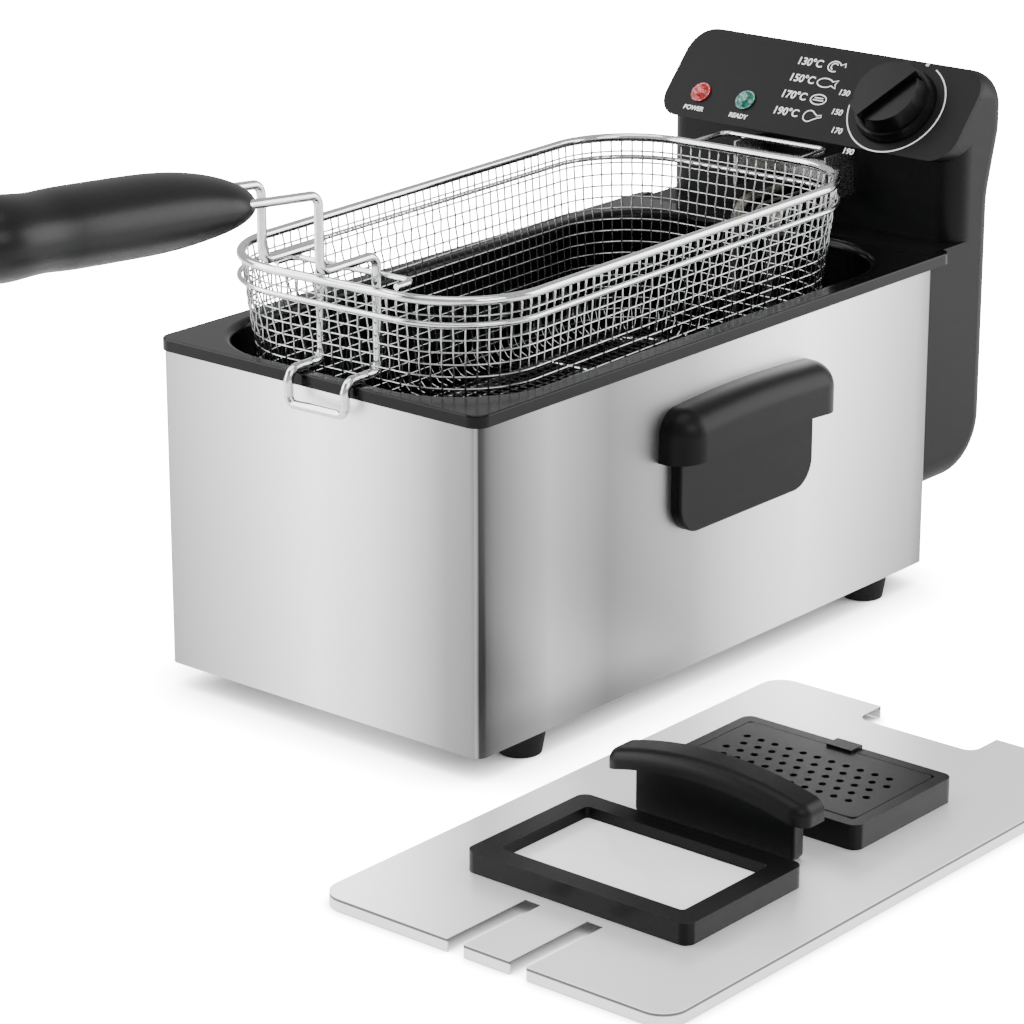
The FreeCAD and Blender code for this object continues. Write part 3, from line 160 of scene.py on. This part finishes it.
steelLook = {
    # brushed 18/8 stainless steel sheet: hairlines a few hundredths of a millimetre wide,
    # drawn 0.4 mm apart so that they show
    "hairline": 0.4 * mm, "stretch": 0.012, "roughness": (0.34, 0.46), "bump": (0.1, 0.03 * mm),
    # painted reflections: upright paler and darker bands across the front and the side, with a painted
    # highlight at the near corner
    "frontPaintedReflections": ((0.0, "#9a9a9a"), (0.27, "#cfcfcf"), (0.5, "#ffffff"), (0.66, "#e4e4e4"),
                   (0.9, "#8d8d8d"), (0.985, "#7c7c7c"), (1.0, "#fdfdfd")),
    "sidePaintedReflections": ((0.0, "#2c2c2c"), (0.03, "#646464"), (0.14, "#a2a2a2"), (0.26, "#7b7b7b"),
                  (0.44, "#a4a4a4"), (0.58, "#e2e2e2"), (0.7, "#ffffff"), (0.96, "#adadad"),
                  (1.0, "#7a7a7a")),
}


def casingSteel():
    # rolled and brushed along its length; the broad upright paler and darker bands across its front
    # and side are painted reflections, with a painted highlight along the near corner
    look = steelLook
    material, shader, hair = newMaterial(
        "brushed stainless casing, painted reflections", {"Metallic": 1.0}, look["hairline"],
        (look["stretch"], look["stretch"], 1), 2.0)
    tree = material.node_tree
    place = addNode(tree, "ShaderNodeTexCoord").outputs["Object"]
    split = addNode(tree, "ShaderNodeSeparateXYZ", links={"Vector": place})
    facing = addNode(tree, "ShaderNodeSeparateXYZ",
                     links={"Vector": addNode(tree, "ShaderNodeNewGeometry").outputs["Normal"]})
    bands = []
    # painted reflections: colour bands laid across each face by its position, chosen by which way the
    # face looks
    for axis, low, high, stops in (("X", casingLow.x, casingHigh.x, look["frontPaintedReflections"]),
                                   ("Y", casingLow.y, casingHigh.y, look["sidePaintedReflections"])):
        along = addNode(tree, "ShaderNodeMapRange", {"From Min": low, "From Max": high},
                        {"Value": split.outputs[axis]})
        ramp = addNode(tree, "ShaderNodeValToRGB", links={"Fac": along.outputs["Result"]})
        setRamp(ramp, stops)
        bands.append(ramp.outputs["Color"])
    sideways = addNode(tree, "ShaderNodeMath", {"operation": "ABSOLUTE"})
    tree.links.new(facing.outputs["X"], sideways.inputs[0])
    onSide = addNode(tree, "ShaderNodeMapRange", {"From Min": 0.45, "From Max": 0.75},
                     {"Value": sideways.outputs["Value"]})
    colour = addNode(tree, "ShaderNodeMix", {"data_type": "RGBA"})
    tree.links.new(onSide.outputs["Result"], colour.inputs["Factor"])
    tree.links.new(bands[0], colour.inputs[6])
    tree.links.new(bands[1], colour.inputs[7])
    soft = addNode(tree, "ShaderNodeMix", {"data_type": "RGBA", "blend_type": "MULTIPLY"})
    soft.inputs["Factor"].default_value = 1.0
    faint = addNode(tree, "ShaderNodeMapRange", {"To Min": 0.94, "To Max": 1.04}, {"Value": hair})
    tree.links.new(colour.outputs[2], soft.inputs[6])
    tree.links.new(faint.outputs["Result"], soft.inputs[7])
    tree.links.new(soft.outputs[2], shader.inputs["Base Color"])
    tintAndBump(shader, hair, None, look["roughness"], look["bump"])
    return material


def millSteel():
    # cold rolled steel sheet as it leaves the mill: dull, with faint rolling lines across
    material, shader, lines = newMaterial("mill finish steel", {"Metallic": 1.0}, 0.5 * mm,
                                          (0.05, 1, 1), 2.0)
    tintAndBump(shader, lines, ("#8f8f8f", "#a8a8a7"), (0.35, 0.5), (0.1, 0.04 * mm))
    return material


def lidSteel():
    # pale satin steel sheet; the dark line where the edge is folded down is painted shade on the bend
    material, shader, hair = newMaterial("brushed stainless lid, painted bend shade", {"Metallic": 0.6}, 0.5 * mm,
                                         (0.02, 1, 1), 2.0)
    tree = material.node_tree
    low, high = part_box("lid_sheet")
    place = addNode(tree, "ShaderNodeTexCoord").outputs["Object"]
    tintAndBump(shader, hair, None, (0.3, 0.42), (0.1, 0.04 * mm))
    split = addNode(tree, "ShaderNodeSeparateXYZ", links={"Vector": place})
    height = addNode(tree, "ShaderNodeMapRange", {"From Min": low.z, "From Max": high.z},
                     {"Value": split.outputs["Z"]})
    # painted shade: a dark band near the top of the folded skirt, by height
    paintedBendShade = addNode(tree, "ShaderNodeValToRGB", links={"Fac": height.outputs["Result"]})
    setRamp(paintedBendShade, ((0.0, "#f4f4f4"), (0.7, "#f8f8f8"), (0.78, "#5c5c5c"), (0.93, "#5c5c5c"),
                   (0.97, "#ffffff")))
    soft = addNode(tree, "ShaderNodeMix", {"data_type": "RGBA", "blend_type": "MULTIPLY"})
    soft.inputs["Factor"].default_value = 1.0
    faint = addNode(tree, "ShaderNodeMapRange", {"To Min": 0.95, "To Max": 1.03}, {"Value": hair})
    tree.links.new(paintedBendShade.outputs["Color"], soft.inputs[6])
    tree.links.new(faint.outputs["Result"], soft.inputs[7])
    tree.links.new(soft.outputs[2], shader.inputs["Base Color"])
    return material


def mouldedPlastic(name, colours, roughness, grain=0.45 * mm, relief=0.08 * mm, coat=0.0,
                   shine=0.12):
    # injection-moulded ABS or polypropylene with a spark-eroded grain
    material, shader, speckle = newMaterial(
        name, {"IOR": 1.5, "Coat Weight": coat, "Coat Roughness": 0.12, "Specular IOR Level": shine},
        grain)
    tintAndBump(shader, speckle, colours, roughness, (0.25, relief))
    return material


def enamelBlack():
    # glossy black enamel on the drawn steel pot: near mirror with a faint orange peel
    material, shader, ripple = newMaterial(
        "black enamel", {"IOR": 1.52, "Specular IOR Level": 0.12}, 3 * mm)
    tintAndBump(shader, ripple, ("#050506", "#080809"), (0.12, 0.2), (0.05, 0.1 * mm))
    return material


def brightWire(name, colours, roughness):
    # drawn steel wire, chrome plated, slightly uneven where it was bent
    material, shader, waver = newMaterial(name, {"Metallic": 1.0}, 1.2 * mm)
    tintAndBump(shader, waver, colours, roughness, (0.15, 0.05 * mm))
    return material


def jewel(name, deep, pale, glow):
    # tinted clear acrylic, moulded with facets inside
    material, shader, facets = newMaterial(
        name, {"IOR": 1.49, "Transmission Weight": 0.2, "Coat Weight": 0.25, "Roughness": 0.12,
               "Emission Color": linear(glow), "Emission Strength": 0.25},
        2.2 * mm, detail=0.0, kind="ShaderNodeTexVoronoi", output="Distance")
    tintAndBump(shader, facets, (pale, deep), None, (0.6, 0.6 * mm))
    return material


def printedInk():
    # pad-printed white ink, thin and a little uneven
    material, shader, mottle = newMaterial("printed ink", {"Roughness": 0.5}, 0.3 * mm)
    tintAndBump(shader, mottle, ("#cfcfcf", "#e6e6e6"))
    return material


def clearGlass():
    # tempered soda-lime glass, clear; its near-white colour is painted light, standing in for the
    # bright floor seen through it
    material, shader, paintedSeenThrough = newMaterial(
        "tempered glass", {"IOR": 1.45, "Roughness": 0.05, "Transmission Weight": 0.1}, 20 * mm)
    # painted light: a near-white colour in place of the bright floor seen through the glass
    tintAndBump(shader, paintedSeenThrough, ("#f9fbfb", "#ffffff"))
    return material


def pressedFelt():
    # pressed polyester felt, pale, with short crossing fibres
    material, shader, fibres = newMaterial(
        "pressed felt", {"Roughness": 0.95, "Sheen Weight": 0.3}, 0.6 * mm, detail=6.0)
    tintAndBump(shader, fibres, ("#b9b3a6", "#d9d4c8"), None, (0.8, 0.5 * mm))
    return material


casingFinish = casingSteel()
lidFinish = lidSteel()
plainFinish = millSteel()
potFinish = enamelBlack()
shellFinish = mouldedPlastic("moulded black polypropylene", ("#060607", "#0a0a0b"), (0.34, 0.44))
panelFinish = mouldedPlastic("moulded charcoal ABS", ("#0a0a0b", "#0e0e0f"), (0.42, 0.52))
gripFinish = mouldedPlastic("soft-touch black phenolic", ("#070708", "#0b0b0c"), (0.32, 0.42),
                            0.7 * mm, shine=0.2)
knobFinish = mouldedPlastic("polished black ABS", ("#040404", "#070707"), (0.26, 0.36),
                            coat=0.04)
rubberFinish = mouldedPlastic("moulded rubber", ("#141414", "#1d1d1d"), (0.7, 0.85), 0.8 * mm)
nylonFinish = mouldedPlastic("natural nylon", ("#a39c8c", "#b9b2a1"), (0.5, 0.6))
chromeFinish = brightWire("chrome-plated wire", ("#c4c5c6", "#dcdddd"), (0.06, 0.14))
meshFinish = brightWire("drawn stainless mesh wire", ("#8e8f90", "#b4b5b5"), (0.12, 0.22))
zincFinish = brightWire("zinc-plated fastener", ("#b9bab8", "#d5d6d4"), (0.22, 0.34))
elementFinish = brightWire("heat-toned element sheath", ("#5b5854", "#7a766f"), (0.3, 0.45))
redFinish = jewel("red acrylic jewel", "#6a090b", "#b8191d", "#a01014")
greenFinish = jewel("green acrylic jewel", "#083f38", "#157a69", "#0d5b4e")
inkFinish = printedInk()
glassFinish = clearGlass()
feltFinish = pressedFelt()

paint(casingFinish, "outer_casing")
paint(lidFinish, "lid_sheet")
paint(plainFinish, "base_plate", "dock_rail_left", "dock_rail_right")
paint(potFinish, "oil_pot")
paint(shellFinish, "head_front_cover", "head_rear_cover", "side_handle_left",
      "side_handle_right", "window_frame", "filter_housing", "filter_cover", "lid_handle")
paint(panelFinish, "control_panel")
paint(gripFinish, "handle_grip")
paint(knobFinish, "temperature_knob", "reset_button")
paint(rubberFinish, "foot_front_left", "foot_front_right", "foot_rear_left", "foot_rear_right",
      "inlet_grommet", "window_seal")
paint(nylonFinish, "thermostat_body", "power_lamp_body", "ready_lamp_body", "terminal_block",
      "safety_switch", "thermal_cutout")
paint(chromeFinish, "basket_rim", "basket_hoop", "basket_base_frame", "basket_rest_loop",
      "basket_handle_wire", "handle_brace")
paint(meshFinish, "basket_mesh")
paint(zincFinish, "foot_screws", "foot_nuts", "side_handle_screws", "head_screws",
      "bracket_rivets", "lid_handle_screws", "thermostat_shaft", "hanger_bracket")
paint(elementFinish, "heating_element", "sensor_bulb", "capillary_tube", "sensor_clip")
paint(redFinish, "power_lamp_lens")
paint(greenFinish, "ready_lamp_lens")
paint(glassFinish, "window_glass")
paint(feltFinish, "filter_pad")
print("materials on every node")


# the basket's walls and floor, woven from thin wire

basket = {
    "halfWidth": 85 * mm, "length": 332.5 * mm, "taper": 10 * mm, "frontTaper": 1 * mm,
    "knee": 48 * mm, "corner": 48 * mm, "yaw": 2.5, "middle": 171.25 * mm,   # from the casing's front
    "depth": 100 * mm, "wire": 0.5 * mm, "pitch": 6 * mm, "rimWire": 2.25 * mm, "floorRound": 9 * mm,
}


def basketRing(below, inset):
    # closed outline (x, y) at a depth below the rim, as evenly spaced points that start mid-front
    half = basket["halfWidth"] - inset
    rear = basket["length"] / 2 - inset
    front = min(below / basket["knee"], 1) * basket["frontTaper"] - rear
    corner = max(basket["corner"] - inset * 0.6, 1 * mm)
    runs = [((0, front), (half - corner, front)), None,
            ((half, front + corner), (half, rear - corner)), None,
            ((half - corner, rear), (corner - half, rear)), None,
            ((-half, rear - corner), (-half, front + corner)), None,
            ((corner - half, front), (0, front))]
    middles = [(half - corner, front + corner, -90), (half - corner, rear - corner, 0),
               (corner - half, rear - corner, 90), (corner - half, front + corner, 180)]
    across = round((basket["halfWidth"] - basket["corner"]) / basket["pitch"])
    along = round((basket["length"] - 2 * basket["corner"]) / basket["pitch"])
    counts = (across, 0, along, 0, 2 * across, 0, along, 0, across)
    points = []
    for i, run in enumerate(runs):
        if run:
            start, end = Vector(run[0]), Vector(run[1])
            points += [start.lerp(end, k / counts[i]) for k in range(counts[i])]
        else:
            cx, cy, first = middles[i // 2]
            count = 13
            for k in range(count):
                turn = math.radians(first + 90 * k / count)
                points.append(Vector((cx + corner * math.cos(turn), cy + corner * math.sin(turn))))
    return points


def wireTube(mesh, points, radius, sides=5, closed=False):
    # adds a tube along a polyline to a bmesh
    count = len(points)
    rings = []
    for i, point in enumerate(points):
        before = points[i - 1] if closed or i else point
        after = points[(i + 1) % count] if closed or i < count - 1 else point
        heading = (after - before).normalized()
        upright = abs(heading.z) > 0.9
        side = (Vector((1, 0, 0)).cross(heading) if upright
                else heading.cross(Vector((0, 0, 1)))).normalized()
        up = side.cross(heading)
        rings.append([mesh.verts.new(point + radius * (side * math.cos(a) + up * math.sin(a)))
                      for a in (2 * math.pi * k / sides for k in range(sides))])
    spans = count if closed else count - 1
    for i in range(spans):
        near, far = rings[i], rings[(i + 1) % count]
        for k in range(sides):
            mesh.faces.new((near[k], near[(k + 1) % sides], far[(k + 1) % sides], far[k]))
    if not closed:
        mesh.faces.new(rings[0][::-1])
        mesh.faces.new(rings[-1])


def basketMesh():
    # upright wires run down the wall and join the floor's grid, level wires go round them
    look = basket
    low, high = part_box("basket_rim")
    rimLevel = (low.z + high.z) / 2
    place = (Matrix.Translation((fryer.x, fryer.y + look["middle"], rimLevel))
             @ Matrix.Rotation(math.radians(look["yaw"]), 4, "Z"))
    bm = bmesh.new()

    def inset(below):
        return below / look["depth"] * look["taper"]

    levels = [look["rimWire"] * 0.6]
    while levels[-1] < look["depth"] - look["floorRound"]:
        levels.append(levels[-1] + look["pitch"])
    outlines = [basketRing(below, look["rimWire"] + inset(below)) for below in levels]
    # the wall rolls into the floor over a small radius
    for step in (0.35, 0.7, 1.0):
        turn = step * math.pi / 2
        below = look["depth"] - look["floorRound"] * (1 - math.sin(turn))
        side = look["floorRound"] * (1 - math.cos(turn))
        outlines.append(basketRing(below, look["rimWire"] + inset(below) + side))
        levels.append(below)
    for below, outline in zip(levels, outlines):
        if below < look["depth"] - 1 * mm:
            ring = [Vector((p.x, p.y, -below)) for p in outline]
            wireTube(bm, ring, look["wire"], closed=True)
    weave = look["wire"] * 0.9
    for column in range(len(outlines[0])):
        post = []
        for row, (below, outline) in enumerate(zip(levels, outlines)):
            p = outline[column]
            lean = Vector((p.x, p.y, 0)).normalized() * weave * (1 if (row + column) % 2 else -1)
            post.append(Vector((p.x, p.y, -below)) + lean * (row > 0))
        wireTube(bm, post, look["wire"])
    floor = outlines[-1]
    low = Vector((min(p.x for p in floor), min(p.y for p in floor)))
    high = Vector((max(p.x for p in floor), max(p.y for p in floor)))
    corner = look["corner"] * 0.62
    for axis in (0, 1):
        count = round((high[axis] - low[axis]) / look["pitch"])
        for k in range(1, count):
            along = low[axis] + (high[axis] - low[axis]) * k / count
            edge = min(along - low[axis], high[axis] - along)
            cut = corner - math.sqrt(max(corner ** 2 - max(corner - edge, 0) ** 2, 0))
            start, end = low[1 - axis] + cut, high[1 - axis] - cut
            ends = []
            for value in (start, end):
                spot = Vector((0, 0, -look["depth"] + (axis - 0.5) * look["wire"] * 1.8))
                spot[axis], spot[1 - axis] = along, value
                ends.append(spot)
            wireTube(bm, ends, look["wire"])
    bm.transform(place)
    mesh = bpy.data.meshes.new("wovenBasket")
    bm.to_mesh(mesh)
    bm.free()
    for face in mesh.polygons:
        face.use_smooth = True
    return newPiece("wovenBasket", mesh, meshFinish, "basket", ["basket_mesh"])


basketMesh()
print("basket woven")


# white printing on the control panel

panelPrint = {
    # the ink: how far it stands off, how thick it is, the icons' pen, the letters' weight
    "lift": 0.12 * mm, "thick": 0.06 * mm, "pen": 0.8 * mm, "penFlat": 0.15,
    "letterSwell": 0.12 * mm,
    # the rows of heats: words, picture and millimetres above the dial's middle
    "rows": (("130°C", "shrimp", 17), ("150°C", "fish", 6.5), ("170°C", "chips", -4),
             ("190°C", "leg", -14.5)),
    "rowX": -14, "rowSize": 6.4 * mm, "iconX": 2, "iconScale": 1.55,
    # the dial: angles in degrees from three o'clock, and the off mark's start, end and pen
    "arcRadius": 28 * mm, "arcWidth": 0.9 * mm, "ringSpan": (62, -172),
    "offMark": (74, 78, 2.4 * mm), "numberGap": 6.5, "numberSize": 4.8 * mm,
    "dialMarks": (("130", 176), ("150", 196), ("170", 216), ("190", 244)),
    # the words under the lamps, in millimetres below them
    "lampLabelDrop": 10, "labelSize": 3.8 * mm,
}


def panelMatrix(x, up):
    # a spot just over the panel's face, from millimetres across and up
    turn = Matrix((Vector((1, 0, 0)), panelUp, panelOut)).transposed().to_4x4()
    spot = (panelMiddle + Vector((x * mm, 0, 0)) + panelUp * (up * mm)
            + panelOut * panelPrint["lift"])
    return Matrix.Translation(spot) @ turn


def penLines(name, lines, x, up, pen):
    # open or closed lines in millimetres, drawn with a pen width and pressed flat on the panel
    curve = bpy.data.curves.new(name, "CURVE")
    curve.dimensions = "3D"
    curve.fill_mode = "FULL"
    curve.bevel_depth = pen / 2
    curve.bevel_resolution = 1
    for points, closed in lines:
        spline = curve.splines.new("POLY")
        spline.points.add(len(points) - 1)
        for slot, (px, py) in zip(spline.points, points):
            slot.co = (px * mm, py * mm, 0, 1)
        spline.use_cyclic_u = closed
    made = bpy.data.objects.new(name, curve)
    bpy.context.scene.collection.objects.link(made)
    made.matrix_world = panelMatrix(x, up) @ Matrix.Scale(panelPrint["penFlat"], 4, (0, 0, 1))
    curve.materials.append(inkFinish)
    return asMesh(made)


def asMesh(made):
    # turns a curve or a text into a mesh piece that rides on the head
    bpy.context.view_layer.update()
    graph = bpy.context.evaluated_depsgraph_get()
    mesh = bpy.data.meshes.new_from_object(made.evaluated_get(graph))
    mesh.transform(made.matrix_world)
    name = made.name
    bpy.data.objects.remove(made)
    return newPiece(name, mesh, inkFinish, "head")


def printText(name, words, x, up, size):
    text = bpy.data.curves.new(name, "FONT")
    text.body = words
    text.size = size
    text.align_x = "CENTER"
    text.align_y = "CENTER"
    text.extrude = panelPrint["thick"]
    text.offset = panelPrint["letterSwell"]
    text.materials.append(inkFinish)
    made = bpy.data.objects.new(name, text)
    bpy.context.scene.collection.objects.link(made)
    made.matrix_world = panelMatrix(x, up)
    return asMesh(made)


def arcPoints(cx, cy, radius, start, end, count=24, squash=1.0):
    return [(cx + radius * math.cos(math.radians(a)), cy + radius * squash * math.sin(math.radians(a)))
            for a in (start + (end - start) * k / (count - 1) for k in range(count))]


def foodIcons():
    # generic line pictures of what each heat is for
    grow = panelPrint["iconScale"]
    shapes = {
        "shrimp": [(arcPoints(0, 0, 2.6, 20, 300, 16, 0.8), False),
                   (arcPoints(0, 0, 1.3, 30, 250, 12), False),
                   ([(2.4, 0.8), (4, 1.8), (4.4, 0.2)], False)],
        "fish": [(arcPoints(-0.6, 0, 3.2, 25, 335, 20, 0.55), False),
                 ([(2.3, 0.8), (4.4, 1.7), (3.7, 0), (4.4, -1.7), (2.3, -0.8)], False)],
        "chips": [(arcPoints(0, 0, 3.2, 0, 345, 20, 0.62), True), ([(-1.8, 0.6), (1.8, 0.6)], False),
                  ([(-2.2, -0.3), (2.2, -0.3)], False)],
        "leg": [(arcPoints(-0.6, 0, 2.2, 40, 320, 16), False),
                ([(1.1, 1.4), (2.6, 0.6), (4.2, 1.0), (4.4, 0.2), (2.8, -0.4), (1.1, -1.4)], False)],
    }
    for label, kind, up in panelPrint["rows"]:
        printText("heatLabel_" + kind, label, panelPrint["rowX"], up, panelPrint["rowSize"])
        drawn = [([(px * grow, py * grow) for px, py in line], closed)
                 for line, closed in shapes[kind]]
        penLines("icon_" + kind, drawn, panelPrint["iconX"], up, panelPrint["pen"])


def dialPrint():
    # ring round the dial from its off mark clockwise, with the four heats beside it
    look = panelPrint
    x = (dialSpot.x - panelMiddle.x) / mm
    radius = look["arcRadius"] / mm
    start, end = look["ringSpan"]
    penLines("dialRing", [(arcPoints(0, 0, radius, start, end, 60), False)], x, 0, look["arcWidth"])
    start, end, markPen = look["offMark"]
    penLines("dialOffMark", [(arcPoints(0, 0, radius, start, end, 3), False)], x, 0, markPen)
    for words, angle in look["dialMarks"]:
        a = math.radians(angle)
        far = radius + look["numberGap"]
        printText("dialNumber" + words, words, x + far * math.cos(a), far * math.sin(a),
                  look["numberSize"])
    for node, words in (("power_lamp_lens", "POWER"), ("ready_lamp_lens", "READY")):
        low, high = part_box(node)
        middle = (low + high) / 2 - panelMiddle
        printText("lampLabel" + words.title(), words, middle.x / mm,
                  middle.dot(panelUp) / mm - look["lampLabelDrop"], look["labelSize"])


foodIcons()
dialPrint()
print("panel printed")


# floor, light and camera

studio = {
    "floorColour": "#fbfbfb", "worldColour": "#ffffff", "worldStrength": 0.75, "backdrop": 30.0,
    "floorGlow": 24.0, "floorBounce": 0.3, "shadowReach": 45 * mm, "shadowDepth": 3.0,
    # softboxes: name, azimuth, height, distance, size, watts
    "lights": (("keySoftbox", -70, 1.3, 1.5, 1.2, 26), ("sideSoftbox", 75, 1.0, 1.6, 0.9, 14),
               ("topSoftbox", 10, 1.9, 0.3, 1.4, 20), ("frontStrip", -42, 0.35, 1.1, 0.8, 12),
               ("rearStrip", 138, 0.35, 1.1, 0.8, 12)),
}


def makeFloor():
    low, high = cadBox
    middle = (low + high) / 2
    bm = bmesh.new()
    bmesh.ops.create_grid(bm, x_segments=2, y_segments=2, size=6)
    mesh = bpy.data.meshes.new("studioFloor")
    bm.to_mesh(mesh)
    bm.free()
    material, shader, fleck = newMaterial("matt white paper", {"Roughness": 0.9}, 4 * mm)
    tree = material.node_tree
    tintAndBump(shader, fleck, ("#f6f6f6", studio["floorColour"]))
    shader.inputs["Emission Color"].default_value = linear(studio["floorColour"])
    seen = addNode(tree, "ShaderNodeLightPath").outputs["Is Camera Ray"]
    # the glow dies away close under the object, so the contact shadow stays dark
    close = addNode(tree, "ShaderNodeAmbientOcclusion", {"Distance": studio["shadowReach"]})
    clear = addNode(tree, "ShaderNodeMath", {"operation": "POWER"})
    tree.links.new(close.outputs["AO"], clear.inputs[0])
    clear.inputs[1].default_value = studio["shadowDepth"]
    shown = addNode(tree, "ShaderNodeMath", {"operation": "MULTIPLY"})
    tree.links.new(clear.outputs["Value"], shown.inputs[0])
    shown.inputs[1].default_value = studio["floorGlow"]
    glow = addNode(tree, "ShaderNodeMapRange", {"To Min": studio["floorBounce"]},
                   {"Value": seen, "To Max": shown.outputs["Value"]})
    tree.links.new(glow.outputs["Result"], shader.inputs["Emission Strength"])
    mesh.materials.append(material)
    floor = bpy.data.objects.new("studioFloor", mesh)
    floor.location = (middle.x, middle.y, -0.0004)
    bpy.context.scene.collection.objects.link(floor)


def makeLights():
    world = bpy.data.worlds.new("studio")
    bpy.context.scene.world = world
    world.use_nodes = True
    tree = world.node_tree
    back = tree.nodes["Background"]
    back.inputs["Color"].default_value = linear(studio["worldColour"])
    # the backdrop is seen brighter than it lights, as a lit paper roll is
    seen = addNode(tree, "ShaderNodeLightPath").outputs["Is Camera Ray"]
    strength = addNode(tree, "ShaderNodeMapRange", {"To Min": studio["worldStrength"],
                                                    "To Max": studio["backdrop"]}, {"Value": seen})
    tree.links.new(strength.outputs["Result"], back.inputs["Strength"])
    aim = Vector((fryer.x, fryer.y + 0.15, 0.12))
    for name, azimuth, height, distance, size, watts in studio["lights"]:
        lamp = bpy.data.lights.new(name, "AREA")
        lamp.shape = "SQUARE"
        lamp.size = size
        lamp.energy = watts
        light = bpy.data.objects.new(name, lamp)
        a = math.radians(azimuth)
        light.location = aim + Vector((math.sin(a) * distance, -math.cos(a) * distance, height))
        light.rotation_euler = (aim - light.location).to_track_quat("-Z", "Y").to_euler()
        bpy.context.scene.collection.objects.link(light)


cameraSetup = {"azimuth": 40.054, "elevation": 18.8, "lens": 134.28,
               "place": (1.1595, -1.2367, 0.6875)}   # from the middle of the casing's front edge


def makeCamera():
    data = bpy.data.cameras.new("viewCamera")
    data.lens = cameraSetup["lens"]
    data.sensor_width = 36
    data.clip_end = 20
    camera = bpy.data.objects.new("viewCamera", data)
    camera.location = fryer + Vector(cameraSetup["place"])
    camera.rotation_euler = (math.radians(90 - cameraSetup["elevation"]), 0,
                             math.radians(cameraSetup["azimuth"]))
    bpy.context.scene.collection.objects.link(camera)
    bpy.context.scene.camera = camera


makeFloor()
makeLights()
makeCamera()
print("studio set")
